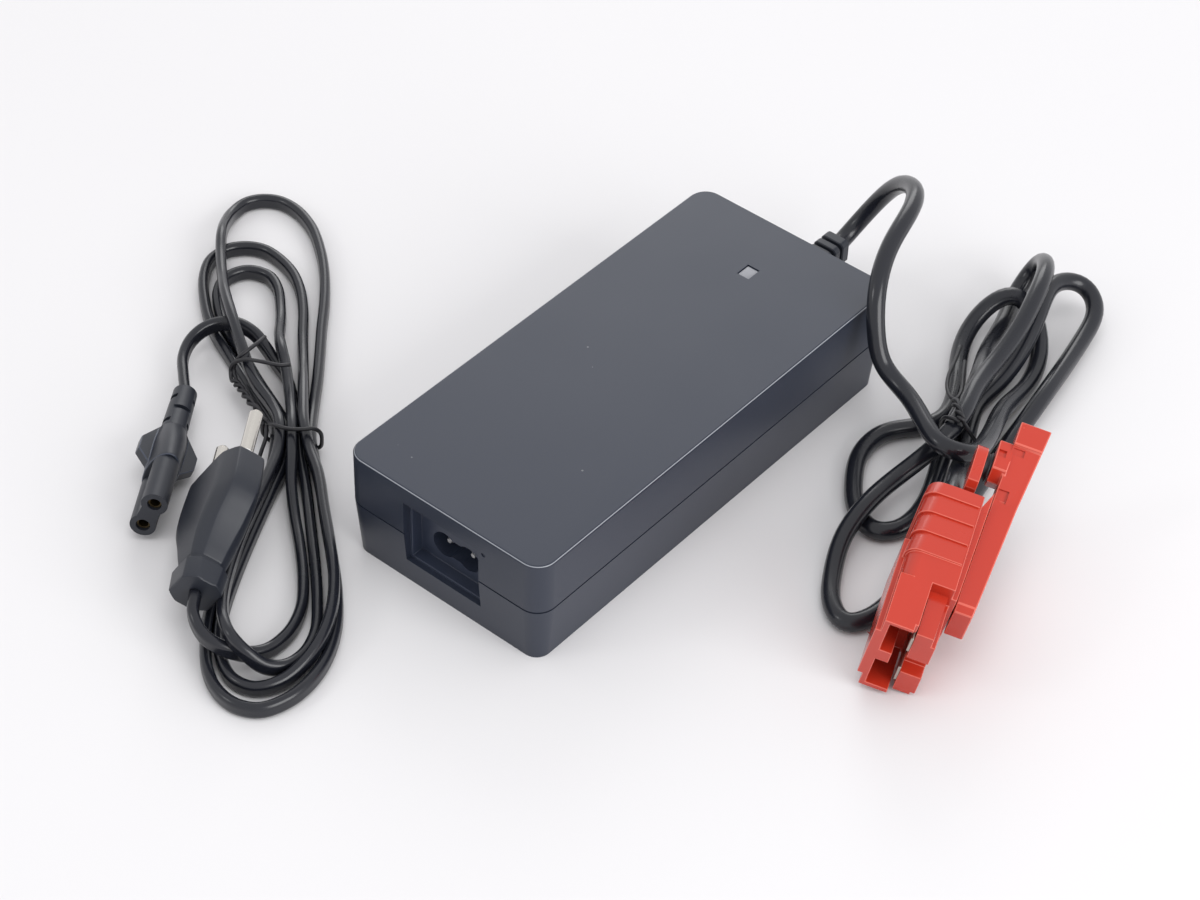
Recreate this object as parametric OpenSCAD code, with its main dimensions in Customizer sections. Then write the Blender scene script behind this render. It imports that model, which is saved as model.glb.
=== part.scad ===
// Battery charger: a closed power brick, an output cord with a latching
// battery connector, and a separate mains lead folded into a tied hank.
// X is across the case, Y runs from the mains inlet to the output gland, Z is up.
// The origin is the middle of the case, on the surface that it stands on.

/* [Case] */
// Length of the case from front wall to back wall
case_l = 155; // [150:1:190]
// Width of the case
case_w = 70; // [68:1:90]
// Height of the case
case_h = 36; // [35.5:0.5:48]
// Height of the seam between the two covers
seam_z = 18.5; // [17:0.5:20]
// Plan radius of the upright corners
corner_r = 6; // [4:0.5:8]
// Thickness of the walls of both covers
wall = 2.6; // [2:0.1:2.8]
// How far the lower cover leans in at its base
draft = 1.6; // [0.6:0.1:1.9]
// Bevel round the top face
edge_r = 0.7; // [0.3:0.1:1.2]
// Width and depth of the groove along the seam
seam_groove = 0.5; // [0.3:0.1:0.8]
// Height of the tongue of the lower cover inside the upper one
lip_h = 2; // [1:0.5:3]

/* [Inlet] */
// Width of the recess round the mains inlet
recess_w = 27; // [26:0.5:30]
// Height of the bottom of the recess above the base
recess_bottom = 8.3; // [8:0.1:8.8]
// Distance from the top of the case down to the top of the recess
recess_drop = 5.7; // [5.2:0.1:6]
// Depth of the inlet face behind the front wall
face_depth = 6.3; // [4:0.1:8]
// Step from the case opening in to the inlet housing
recess_step = 0.8; // [0.4:0.1:1.2]
// Wall of the inlet housing
inlet_wall = 1.8; // [1.4:0.1:2]
// Distance between the two inlet pins
pin_pitch = 8.6; // [8:0.1:9]
// Diameter of an inlet pin
pin_d = 2.4; // [2:0.1:2.8]
// Height of the inlet pins
pin_z = 16; // [15.5:0.1:17]
// Radius of each lobe of the inlet cavity
lobe_r = 4.1; // [3.9:0.1:4.3]
// Depth of the inlet cavity
cavity_depth = 15; // [13:0.5:17]

/* [Indicator] */
// Width of the indicator window
window_w = 4; // [3:0.5:6]
// Length of the indicator window
window_l = 5; // [3:0.5:8]
// Distance of the window from the back wall
window_back = 23; // [20:0.5:25]

/* [Electronics] */
// Thickness of the circuit board
board_t = 1.6; // [1:0.1:2]
// Diameter of the mains storage capacitor
bulk_d = 18; // [14:0.5:20]
// Room between the mains storage capacitor and the top cover
bulk_room = 2.1; // [1.5:0.1:6]
// Diameter of each output capacitor
out_cap_d = 10; // [8:0.5:11]
// Height of each output capacitor
out_cap_h = 20; // [12:1:24]
// Width of the transformer core
core_w = 28; // [24:1:32]
// Room between the transformer core and the top cover
core_room = 2.6; // [1.5:0.1:4]
// Length of the primary heat sink
sink_l = 50; // [40:1:54]
// Thickness of the heat sinks
sink_t = 2; // [1.5:0.5:3]

/* [Gland] */
// Length of the gland outside the case
gland_l = 22.5; // [18:0.5:26]
// Width across a gland rib
gland_w = 8; // [7.6:0.1:9]
// Height of the gland and the cord where they leave the case
gland_z = 18; // [17:0.5:19]
// Diameter of the output cord
cord_d = 5.4; // [4.6:0.1:5.4]

/* [Battery connector] */
// Length of the connector housing
plug_l = 47; // [44:1:50]
// Height of the connector housing
plug_h = 31; // [30:0.5:33]
// Thickness of the connector housing
plug_t = 15; // [14.5:0.1:16]
// Length of the split mating end
head_l = 14.5; // [12:0.5:17]
// How far the left half of the mating end stands out
head_step = 2; // [1:0.5:3]
// Wall round the contact cavities
plug_wall = 1.6; // [1.4:0.1:2.2]
// Distance from one grip ridge to the next
ridge_pitch = 6.6; // [5.4:0.1:6.8]
// Height of each grip ridge step
ridge_h = 0.6; // [0.3:0.1:0.8]
// Diameter of the latch pivot pin
pivot_d = 3.2; // [2.6:0.1:3.6]
// Width of the latch lever
lever_w = 8.8; // [8.2:0.1:9.4]
// Height of the latch lever bar
lever_h = 13; // [12:0.5:14]
// Gap between the connector housing and the lever
lever_gap = 1.6; // [1.5:0.1:2.4]

/* [Mains lead] */
// Radius of each lobe of the appliance connector nose
nose_r = 3.7; // [3.4:0.1:3.8]
// Length of the connector nose
nose_l = 17; // [14:0.5:18]
// Distance between the mains plug pins
mains_pitch = 18.6; // [17:0.2:19]
// Diameter of a mains plug pin
mains_pin_d = 4; // [3.6:0.1:4.8]
// Length of a mains plug pin
mains_pin_l = 19; // [17:0.5:20]
// Width of the flat mains cord
mains_w = 5; // [4.5:0.1:5.6]
// Thickness of the flat mains cord
mains_t = 3.2; // [2.8:0.1:3.6]
// Height of the folded hank
hank_h = 10; // [9:0.2:11]
// Thickness of the wire ties
tie_t = 1.2; // [0.8:0.1:1.2]

/* [Hidden] */
$fn = 48;
// Clearance between pieces that are fitted together
fit = 0.1;
// Clearance between a moving piece and a still one
run_gap = 0.3;
// Depth that cuts reach past a face
over = 1;

front_y = -case_l / 2;
back_y = case_l / 2;
inner_w = case_w - 2 * wall;
ceiling_z = case_h - wall;
recess_h = case_h - recess_drop - recess_bottom;
recess_z = recess_bottom + recess_h / 2;
housing_w = recess_w + 2 * (inlet_wall - recess_step);
housing_bottom = recess_bottom - inlet_wall + recess_step;
housing_top = recess_z + recess_h / 2 + inlet_wall - recess_step;
housing_back = front_y + face_depth + cavity_depth + inlet_wall;
board_top = housing_bottom;
board_z = board_top - board_t;
board_w = inner_w - 2 * draft - 2;
board_l = case_l - 2 * wall - 2 * draft - 3;
flange_t = 2.5;
flange_w = gland_w + 4;
sink_h = ceiling_z - board_top - 3;
sink_x = board_w / 2 - 5;
package_w = 10;
package_h = 15;
package_t = 4.5;
lead_d = 1;
core_foot = 1.5;
core_h = ceiling_z - board_top - core_foot - core_room;
bulk_h = ceiling_z - board_top - bulk_room;
core_t = 12;
core_leg = 5;
core_y = 12;
out_cap_y = back_y - 36;
window_y = back_y - window_back;
led_d = 3;

// Place of the battery connector: it lies on the surface, turned, tipped and leaning
plug_at = [109.2, -22.2, 1.4];
plug_turn = 22;
plug_tip = 8;
plug_lean = 10.5;
lever_x = plug_t / 2 + lever_gap;
pivot_y = plug_l + 18;
pivot_z = 21;
arm_t = 3.2;
spring_t = 1.8;
arm_x = plug_t / 2 - 5.5;
ear_x = arm_x + arm_t + spring_t + run_gap;
pin_end = lever_x + 4.3;
left_w = 7.9;
slot_w = 1.1;

// Place of the appliance connector at one end of the mains lead
iec_at = [-77.2, -112, 9.6];
iec_turn = 125.5;
iec_tip = -4;
iec_lean = 25.5;
iec_body_l = 19;
iec_relief_l = 18;
iec_l = nose_l + iec_body_l + iec_relief_l;
relief_d = 9;

// Place of the mains plug at the other end
mains_at = [-42.3, -127.8, 14.6];
mains_turn = 124;
mains_tip = 2;
mains_lean = 34;
mains_flange_l = 7;
mains_body_l = 43;
mains_root_l = 8;
mains_root_d = mains_pin_d - 0.8;
sleeve_l = 3;

// The hank of the mains lead: two long loops that meet at a waist
waist = [-74, -59];
upper_end = [-149, 4];
lower_end = [-17, -126];
waist_r = 7.5;
upper_r = 16;
lower_r = 17;
tie_turn = 29;
tie_clear = 0.4;
tie_slack = 1;
tie_room = 0.6;
tied_strands = [[-2.7, 8.6], [-0.2, 16], [1.6, 4.9]];

// The output cord's points from the gland to the battery connector
cord_points = [
    [0, back_y + gland_l, gland_z],
    [0, 107, 20], [5, 113, 31], [13, 111, 42], [23, 103, 49], [29, 91, 51],
    [32, 78, 49], [37, 66, 44], [42, 60, 34], [47, 58, 25], [57, 56, 22],
    [67, 50, 22], [76, 45, 22], [83, 49, 20], [82, 58, 15], [78, 71, 11],
    [73, 84, 7], [71, 98, 3], [67, 112, 3], [58, 123, 7], [49, 123, 12],
    [44, 114, 7], [46, 102, 3], [53, 90, 3], [60, 76, 3], [58, 66, 3],
    [51, 57, 3], [51, 45, 3], [56, 35, 3], [64, 25, 3], [73, 22, 3],
    [78, 29, 3], [77, 40, 3], [73, 51, 3], [69, 61, 7], [66, 72, 10],
    [63, 84, 10], [57, 97, 7], [52, 109, 3], [49, 121, 3], [45, 132, 4],
    [47, 140, 13], [56, 128, 22], [61, 114, 22], [64, 101, 19], [65, 88, 16],
    [67, 76, 16], [71, 64, 16], [71, 51, 13], [68, 38, 9], [68, 25, 9],
    [69, 12, 6], [74, 1, 3], [80, -8, 3], [88, -12, 3], [92, -4, 3],
    [92, 6, 3], [91, 20, 3], [88, 36, 3], [85, 52, 3], [82, 68, 3],
    [80, 84, 4], [78, 99, 6], [75, 114, 5], [72, 128, 5], [69, 139, 7],
    [61, 143, 10], [56, 134, 13], [60, 121, 13], [63, 109, 8], [64, 97, 4],
    [64, 86, 3], [67, 77, 4], [72, 67, 5], [78, 56, 9], [84, 43, 17],
    [91, 30, 24]
];

// The mains cord's points from the appliance connector into the hank
upper_lead = [[-115, -61, 5.6], [-121, -54, 6], [-123, -45, 6], [-121, -38, 6], [-116, -34, 6]];

// The mains cord's points from the mains plug into the hank
lower_lead = [[-38, -133, 10], [-35, -136, 6], [-31, -135, 4]];

// Rounded rectangle in plan
module plate(w, l, r) {
    square([w - 2 * r, l], center = true);
    square([w, l - 2 * r], center = true);
    for (x = [-1, 1], y = [-1, 1]) translate([x * (w / 2 - r), y * (l / 2 - r)]) circle(r);
}

// Thin level slice of the case, drawn in by the given amount
module slice(z, inset, t = 0.02) {
    translate([0, 0, z])
        linear_extrude(t) plate(case_w - 2 * inset, case_l - 2 * inset, corner_r - inset);
}

// Room inside the case between two heights, clear of the draft
module case_room(z0, z1, inset) {
    translate([0, 0, z0]) linear_extrude(z1 - z0)
        plate(case_w - 2 * inset, case_l - 2 * inset, corner_r - inset);
}

// Openings in the two end walls, which both covers share
module end_openings() {
    translate([-recess_w / 2, front_y - over, recess_bottom])
        cube([recess_w, wall + 2 * over, recess_h]);
    translate([-gland_w / 2 - fit, back_y - wall - over, gland_z - gland_w / 2 - fit])
        cube([gland_w + 2 * fit, wall + 2 * over, gland_w + 2 * fit]);
}

module top_cover() {
    color("dimgray") difference() {
        union() {
            hull() {
                slice(seam_z + seam_groove, 0);
                slice(case_h - edge_r, 0);
                slice(case_h - 0.02, edge_r);
            }
            case_room(seam_z, seam_z + seam_groove + 0.01, seam_groove);
        }
        case_room(seam_z - over, ceiling_z, wall);
        case_room(seam_z - over, seam_z + lip_h + fit, wall / 2);
        end_openings();
        translate([-window_w / 2 - fit, window_y - window_l / 2 - fit, ceiling_z - over])
            cube([window_w + 2 * fit, window_l + 2 * fit, wall + 2 * over]);
        // Moulding mark beside the recess
        translate([recess_w / 2 + 1.7, front_y - over, case_h - 6.3]) rotate([-90, 0, 0])
            cylinder(d = 1.4, h = over + 0.3);
    }
}

module bottom_cover() {
    post_x = board_w / 2 - 4;
    post_y = board_l / 2 - 6;
    color("dimgray") {
        difference() {
            union() {
                hull() {
                    slice(0, draft);
                    slice(seam_z - 0.02, 0);
                }
                case_room(seam_z - over, seam_z + lip_h, wall / 2 + fit);
            }
            hull() {
                slice(wall, wall + draft * (1 - wall / seam_z));
                slice(seam_z, wall);
            }
            case_room(seam_z, seam_z + lip_h + over, wall);
            translate([-housing_w / 2 - fit, front_y + wall, housing_bottom - fit])
                cube([housing_w + 2 * fit, 2 * wall, case_h]);
            translate([-flange_w / 2 - fit, back_y - 3 * wall, gland_z - flange_w / 2 - fit])
                cube([flange_w + 2 * fit, 2 * wall, case_h]);
            end_openings();
        }
        for (x = [-post_x, post_x], y = [-post_y, post_y])
            translate([x, y, wall]) cylinder(d = 6, h = board_z - wall);
    }
}

module indicator_window() {
    color("whitesmoke") {
        translate([-window_w / 2, window_y - window_l / 2, ceiling_z])
            cube([window_w, window_l, wall]);
        translate([-window_w / 2 - 1, window_y - window_l / 2 - 1, ceiling_z - 1])
            cube([window_w + 2, window_l + 2, 1]);
    }
}

// Figure of eight outline of the inlet cavity and of the connector nose
module figure_eight(r) {
    for (x = [-1, 1]) translate([x * pin_pitch / 2, 0]) circle(r);
    square([pin_pitch, 1.5 * r], center = true);
}

module inlet_housing() {
    mouth_w = recess_w - 2 * recess_step;
    mouth_h = recess_h - 2 * recess_step;
    face_y = front_y + face_depth;
    color("#222428") difference() {
        translate([-housing_w / 2, front_y + wall, housing_bottom])
            cube([housing_w, housing_back - front_y - wall, housing_top - housing_bottom]);
        translate([-mouth_w / 2, front_y, recess_z - mouth_h / 2])
            cube([mouth_w, face_depth, mouth_h]);
        translate([0, face_y - over, pin_z]) rotate([-90, 0, 0])
            linear_extrude(cavity_depth + over) figure_eight(lobe_r);
        for (x = [-1, 1]) translate([x * pin_pitch / 2, housing_back - inlet_wall - over, pin_z])
            rotate([-90, 0, 0]) cylinder(d = pin_d + fit, h = inlet_wall + 2 * over);
    }
}

module inlet_pins() {
    tip_y = front_y + face_depth + 1.8;
    tail = 3;
    color("silver") for (x = [-1, 1]) translate([x * pin_pitch / 2, 0, 0]) {
        translate([0, tip_y + 1, pin_z]) rotate([-90, 0, 0])
            cylinder(d = pin_d, h = housing_back + tail - tip_y - 1);
        translate([0, tip_y, pin_z]) rotate([-90, 0, 0])
            cylinder(d1 = pin_d - 1, d2 = pin_d, h = 1);
        translate([0, housing_back + tail - pin_d / 2, board_top])
            cylinder(d = lead_d, h = pin_z - board_top);
    }
}

module circuit_board() {
    color("darkgreen") translate([0, 0, board_z])
        linear_extrude(board_t) plate(board_w, board_l, 3);
}

module status_led() {
    top = ceiling_z - 1 - run_gap;
    color("lightgreen") {
        translate([0, window_y, top - 6]) cylinder(d = led_d, h = 6 - led_d / 2);
        translate([0, window_y, top - led_d / 2]) sphere(d = led_d, $fn = 24);
        translate([0, window_y, top - 6]) cylinder(d = led_d + 0.8, h = 1);
    }
    color("silver") for (x = [-0.9, 0.9])
        translate([x, window_y, board_top]) cylinder(d = 0.5, h = top - 6 - board_top, $fn = 16);
}

module fuse() {
    len = 20;
    d = 5.2;
    fuse_x = 9.8 - board_w / 2;
    translate([fuse_x, housing_back + 10, board_top + d / 2 + 1.2]) rotate([0, 90, 90]) {
        color("gainsboro") cylinder(d = d - 0.6, h = len, center = true);
        color("silver") for (z = [-1, 1]) translate([0, 0, z * (len / 2 - 2.5)])
            cylinder(d = d, h = 5, center = true);
    }
    color("silver") for (y = [-1, 1])
        translate([fuse_x - 2, housing_back + 10 + y * (len / 2 - 2.5) - 1, board_top])
            cube([4, 2, 1.8]);
}

module input_choke() {
    color("darkkhaki") translate([2, housing_back + 15, board_top])
        rotate_extrude() translate([7, 4.5]) plate(6, 9, 1.5);
}

module x_capacitor() {
    color("goldenrod") translate([board_w / 2 - 7.8, housing_back + 13, board_top + 7])
        rotate([90, 0, 90]) linear_extrude(8, center = true) plate(17, 14, 0.8);
}

module bridge_rectifier() {
    left_x = 1.8 - board_w / 2;
    color("#202020") translate([left_x, housing_back + 26, board_top + 3])
        cube([16, 4, 11]);
    color("silver") for (i = [0:3])
        translate([left_x + 2 + 4 * i, housing_back + 28, board_top]) cylinder(d = lead_d, h = 3);
}

module bulk_capacitor() {
    color("midnightblue") translate([0, housing_back + 36, board_top]) difference() {
        union() {
            cylinder(d = bulk_d, h = bulk_h - 0.8);
            translate([0, 0, bulk_h - 0.8]) cylinder(d1 = bulk_d, d2 = bulk_d - 1.6, h = 0.8);
        }
        translate([0, 0, 3]) rotate_extrude() translate([bulk_d / 2 + 0.3, 0]) circle(0.8);
    }
}

module transformer_core() {
    color("#3a3a3e") translate([0, core_y, board_top + core_foot]) difference() {
        translate([-core_w / 2, -core_t / 2, 0]) cube([core_w, core_t, core_h]);
        translate([-core_w / 2 + core_leg, -core_t / 2 - over, core_leg])
            cube([core_w - 2 * core_leg, core_t + 2 * over, core_h - 2 * core_leg]);
    }
}

module transformer_winding() {
    win_w = core_w - 2 * core_leg - 2 * fit;
    win_h = core_h - 2 * core_leg - 2 * fit;
    foot_h = core_foot + core_leg + fit;
    reach = core_t + 12;
    color("khaki") translate([0, core_y, board_top + foot_h + win_h / 2])
        rotate([90, 0, 0]) linear_extrude(reach, center = true) plate(win_w, win_h, 1);
    color("#303030") for (y = [-1, 1])
        translate([-win_w / 2, core_y + y * (reach / 2 - 2) - 2, board_top])
            cube([win_w, 4, foot_h + 1]);
}

// Upright aluminium plate with a row of fins towards the middle of the case
module heat_sink(side, y0, length) {
    fins = floor(length / 8);
    translate([side * sink_x, y0, board_top]) {
        translate([-sink_t / 2, 0, 0]) cube([sink_t, length, sink_h]);
        for (i = [0:fins]) translate([side > 0 ? 0 : -3, i * (length - 1.2) / fins, sink_h - 6])
            cube([3, 1.2, 6]);
    }
}

module primary_heat_sink() {
    color("silver") heat_sink(-1, front_y + 62, sink_l);
}

module secondary_heat_sink() {
    color("silver") heat_sink(1, core_y + 2, sink_l - 14);
}

// Flat power device that stands against a heat sink
module power_package(side, y) {
    inward = side > 0 ? -sink_t / 2 - package_t : sink_t / 2;
    color("#1c1c1c") translate([side * sink_x + inward, y - package_w / 2, board_top + 4])
        cube([package_t, package_w, package_h]);
    color("silver") for (i = [-1:1])
        translate([side * sink_x + inward + package_t / 2, y + 2.5 * i, board_top])
            cylinder(d = lead_d, h = 4);
}

module power_transistor() power_package(-1, front_y + 90);

module output_diode() power_package(1, core_y + 20);

module output_capacitors() {
    color("darkslateblue") for (x = [-1, 1]) translate([x * 7, out_cap_y, board_top]) {
        cylinder(d = out_cap_d, h = out_cap_h - 0.5);
        cylinder(d = out_cap_d - 1, h = out_cap_h);
    }
}

module output_leads() {
    bend_y = back_y - wall - flange_t - 6;
    color("firebrick") for (x = [-1.4, 1.4]) translate([x, bend_y, 0]) {
        translate([0, 0, board_top]) cylinder(d = 1.8, h = gland_z - board_top, $fn = 24);
        translate([0, 0, gland_z]) sphere(d = 1.8, $fn = 24);
        translate([0, 0, gland_z]) rotate([-90, 0, 0]) cylinder(d = 1.8, h = 6, $fn = 24);
    }
}

// Moulded strain relief: a flange inside the wall, then ribs joined by webs that
// change sides from slot to slot
module cord_gland() {
    slots = 4;
    slot_l = 1.6;
    pitch = gland_l / (slots + 0.7);
    color("#24262a") translate([0, back_y, gland_z]) rotate([-90, 0, 0]) {
        translate([0, 0, -wall - flange_t]) linear_extrude(flange_t)
            plate(flange_w, flange_w, 2);
        translate([0, 0, -wall]) linear_extrude(wall) plate(gland_w, gland_w, 1);
        difference() {
            linear_extrude(gland_l) plate(gland_w, gland_w, 2);
            for (i = [0:slots - 1]) translate([0, 0, gland_l - (i + 0.7) * pitch])
                rotate([0, 0, 90 * (i % 2)]) for (x = [-1, 1])
                    translate([x * (cord_d / 2 + 2.2), 0, -slot_l / 2])
                        translate([-2, -gland_w, 0]) cube([4, 2 * gland_w, slot_l]);
        }
    }
}

// A tube swept through the points, with a level ring of sides at each of them
function unit(v) = v / norm(v);
function along(p, i) = unit(p[min(i + 1, len(p) - 1)] - p[max(i - 1, 0)]);
function across(t) = norm(cross(t, [0, 0, 1])) < 0.05 ? [1, 0, 0] : unit(cross(t, [0, 0, 1]));
function turned(p, i, prev) = let(t = along(p, i), a = prev - t * (prev * t)) unit(a);
function carried(p, i = 0, list = []) = i == len(p) ? list :
    carried(p, i + 1, concat(list, [i == 0 ? across(along(p, 0)) : turned(p, i, list[i - 1])]));
module tube(points, w, h, sides) {
    n = len(points);
    side_dirs = carried(points);
    verts = [for (i = [0:n - 1], k = [0:sides - 1])
        let(t = along(points, i), a = side_dirs[i], b = cross(a, t), s = 360 * (k + 0.5) / sides)
        points[i] + a * (w / 2 * cos(s)) + b * (h / 2 * sin(s))];
    faces = concat(
        [[for (k = [sides - 1:-1:0]) k]],
        [for (i = [0:n - 2], k = [0:sides - 1]) let(m = (k + 1) % sides)
            [i * sides + k, i * sides + m, (i + 1) * sides + m, (i + 1) * sides + k]],
        [[for (k = [0:sides - 1]) (n - 1) * sides + k]]);
    polyhedron(verts, faces, convexity = 8);
}

// Puts its children where the battery connector lies
module at_plug() {
    translate(plug_at) rotate([0, 0, plug_turn]) rotate([plug_tip, 0, 0])
        rotate([0, plug_lean, 0]) children();
}

function turn_x(a, v) = [v.x, v.y * cos(a) - v.z * sin(a), v.y * sin(a) + v.z * cos(a)];
function turn_y(a, v) = [v.x * cos(a) + v.z * sin(a), v.y, v.z * cos(a) - v.x * sin(a)];
function turn_z(a, v) = [v.x * cos(a) - v.y * sin(a), v.x * sin(a) + v.y * cos(a), v.z];
function from_plug(v) = plug_at + turn_z(plug_turn, turn_x(plug_tip, turn_y(plug_lean, v)));

module output_cord() {
    color("#1b1c1e") tube(concat(cord_points, [from_plug([0, plug_l, plug_h / 2])]),
        cord_d, cord_d, 8);
}

// Housing outline across the connector: a soft left edge and a sharp right one
module plug_section(grow = 0) {
    r = 4;
    x0 = -plug_t / 2 - grow;
    z1 = plug_h + grow;
    translate([x0 + r, 0]) square([plug_t + grow - r, z1]);
    translate([x0, r]) square([r + 0.01, z1 - 2 * r]);
    translate([x0 + r, r]) circle(r);
    translate([x0 + r, z1 - r]) circle(r);
}

// One grip scale, which rises towards the front and ends in a step
module grip_scale(rear_y, step_y) {
    hull() {
        translate([0, rear_y, 0]) rotate([90, 0, 0]) linear_extrude(0.02) grip_section(0.04);
        translate([0, step_y + 0.02, 0]) rotate([90, 0, 0]) linear_extrude(0.02)
            grip_section(ridge_h);
    }
}

// Outline of a grip scale, which leaves the right edge and the low part of the sides plain
module grip_section(grow) {
    intersection() {
        plug_section(grow);
        translate([-plug_t, 5]) square([1.5 * plug_t - 0.5, plug_h]);
    }
}

module plug_housing() {
    body_l = plug_l - head_l;
    first_step = 4.4;
    right_x = -plug_t / 2 + left_w + slot_w;
    right_w = plug_t / 2 - right_x;
    divider = 4.5;
    web_t = 2.5;
    top_wall = 1.2;
    side_step = 1.2;
    arm_low = plug_h / 2 + cord_d / 2 + 0.5;
    link_top = arm_low + 1.8;
    notch_z = plug_h * 0.284;
    notch_h = plug_h * 0.226;
    panel_drop = 3.7;
    color("tomato") at_plug() {
        // Closed body with a grip of four scales
        translate([0, plug_l, 0]) rotate([90, 0, 0]) linear_extrude(body_l) plug_section();
        for (i = [0:3]) grip_scale(plug_l - (i == 0 ? 0 : first_step + (i - 0.95) * ridge_pitch),
            plug_l - first_step - i * ridge_pitch);
        // Left half of the mating end: a channel open to the right, with a part divider
        difference() {
            translate([-plug_t / 2, -head_step, 0]) cube([left_w, head_l + head_step, plug_h]);
            translate([-plug_t / 2 + plug_wall, -head_step - over, plug_wall])
                cube([left_w, head_l + head_step + over - web_t, plug_h - plug_wall - top_wall]);
        }
        translate([-plug_t / 2 + plug_wall - 0.01, -head_step, (plug_h - divider) / 2])
            cube([0.55 * (left_w - plug_wall), head_l + head_step, divider]);
        // Lip that covers the slot from above
        translate([-plug_t / 2 + left_w - 0.01, 0, plug_h - panel_drop + 0.3])
            cube([slot_w - 0.3, head_l + 0.01, panel_drop - 0.3]);
        // Right half, set back, with a lowered top and a notch in its front
        difference() {
            union() {
                translate([right_x, 0, 0])
                    cube([right_w - side_step, head_l + 0.01, plug_h - panel_drop]);
                translate([right_x, 0, side_step])
                    cube([right_w, head_l + 0.01, plug_h - panel_drop - 4 * side_step]);
            }
            translate([right_x - over, -over, notch_z])
                cube([plug_t, 4 + over, notch_h]);
        }
        // Web that closes the slot between the halves at its rear
        translate([right_x - slot_w - 0.01, head_l - web_t, 0])
            cube([slot_w + 0.02, web_t + 0.01, plug_h - panel_drop]);
        // Guide rails along the lower sides
        translate([-plug_t / 2 - 1.5, -head_step, 5]) cube([1.51, 29 + head_step, 21]);
        translate([plug_t / 2 - 0.01, head_l, 3])
            cube([lever_gap - 0.4, body_l - 1, plug_h - 7]);
        // Arm that carries the latch pivot, and the link below it to the body
        difference() {
            union() {
                translate([arm_x, 0, 0]) rotate([90, 0, 90]) linear_extrude(arm_t) polygon([
                    [pivot_y - 10.2, arm_low], [pivot_y - 10.2, pivot_z + 1.8],
                    [pivot_y - 9, pivot_z + 4], [pivot_y - 6.8, pivot_z + 5],
                    [pivot_y, pivot_z + 5], [pivot_y, pivot_z - 5], [pivot_y - 3, pivot_z - 4.9]
                ]);
                translate([arm_x + 1, 0, 0]) rotate([90, 0, 90]) linear_extrude(arm_t - 1) polygon([
                    [plug_l - 0.01, 12], [pivot_y - 4, pivot_z - 4.8], [pivot_y - 4, link_top],
                    [plug_l - 0.01, link_top]
                ]);
                translate([arm_x, pivot_y, pivot_z]) rotate([0, 90, 0]) cylinder(r = 5, h = arm_t);
            }
            translate([arm_x - over, pivot_y, pivot_z]) rotate([0, 90, 0])
                cylinder(d = pivot_d + fit, h = arm_t + 2 * over);
        }
    }
}

module plug_contacts() {
    blade_x = -plug_t / 2 + left_w + 0.15;
    blade_y = -1.2;
    color("silver") at_plug() for (z = [plug_h * 0.3, plug_h * 0.75])
        translate([blade_x, blade_y, z - 3]) cube([0.8, head_l - 2.6 - blade_y, 6]);
}

module latch_pin() {
    color("#2a2a2c") at_plug() translate([arm_x, pivot_y, pivot_z]) rotate([0, 90, 0])
        cylinder(d = pivot_d, h = pin_end - arm_x);
}

// Spring washers round the pin, between the arm and the lever's ear
module latch_spring() {
    rings = 3;
    ring_t = spring_t / rings;
    color("#1a1a1a") at_plug() translate([arm_x + arm_t, pivot_y, pivot_z]) rotate([0, 90, 0])
        difference() {
            for (i = [0:rings - 1]) translate([0, 0, i * ring_t])
                cylinder(r = 4.2 - 0.5 * (i % 2), h = ring_t);
            translate([0, 0, -over]) cylinder(d = pivot_d + fit, h = spring_t + 2 * over);
        }
}

// Latch lever: a wedge shaped bar with a foot, an ear on the pivot and a thumb block
module latch_lever() {
    foot_y = 14;
    bar_z = plug_h / 2 - 3.5;
    ramp_y = 54.5;
    thumb_y = 70.7;
    end_y = 79;
    low_x = lever_x + 0.1;
    ramp_z = bar_z + lever_h - 3.5;
    thumb_z = bar_z + lever_h + 3;
    color("orangered") at_plug() difference() {
        union() {
            intersection() {
                translate([lever_x - over, 0, 0]) rotate([90, 0, 90])
                    linear_extrude(lever_w + 5) polygon([
                        [foot_y, bar_z], [ramp_y, bar_z - 1], [pivot_y - 2, bar_z + 1],
                        [end_y - 2, bar_z + 7], [end_y, bar_z + lever_h],
                        [end_y - 0.4, thumb_z], [thumb_y, thumb_z], [thumb_y - 0.3, thumb_z - 0.8],
                        [ramp_y, ramp_z], [foot_y + 2, bar_z + lever_h - 0.3],
                        [foot_y, bar_z + lever_h - 2]
                    ]);
                linear_extrude(2 * plug_h) polygon([
                    [low_x, foot_y - over], [low_x + 5.1, foot_y - over], [low_x + 8.3, ramp_y],
                    [low_x + 2 + lever_w, end_y + over], [low_x + 2, end_y + over],
                    [low_x + 1.3, ramp_y], [low_x, foot_y + 6]
                ]);
            }
            translate([ear_x, 0, 0]) rotate([90, 0, 90]) linear_extrude(lever_x + 2.5 - ear_x)
                polygon([
                    [pivot_y - 4.6, pivot_z], [pivot_y - 2.6, pivot_z + 4.2], [pivot_y, pivot_z + 5.4],
                    [pivot_y + 6.4, pivot_z + 5.4], [pivot_y + 6.4, pivot_z - 1],
                    [pivot_y + 3, pivot_z - 4.4], [pivot_y - 3, pivot_z - 4.4]
                ]);
        }
        // Shallow recess in the ear and two on the ramp
        translate([ear_x + 0.5, pivot_y + 0.8, pivot_z + 4.8])
            cube([lever_x + 0.3 - ear_x, 2.4, over]);
        translate([low_x + 1.8, ramp_y + 0.6, ramp_z - 0.6]) rotate([22, 0, 0])
            cube([3, 3.4, 1.5]);
        translate([low_x + 2.2, thumb_y - 2.6, thumb_z - 2.2]) rotate([22, 0, 0])
            cube([3.2, 2, 1.6]);
        translate([ear_x - over, pivot_y, pivot_z]) rotate([0, 90, 0])
            cylinder(d = pivot_d + 2 * run_gap, h = pin_end + run_gap - ear_x + over);
    }
}

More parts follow.
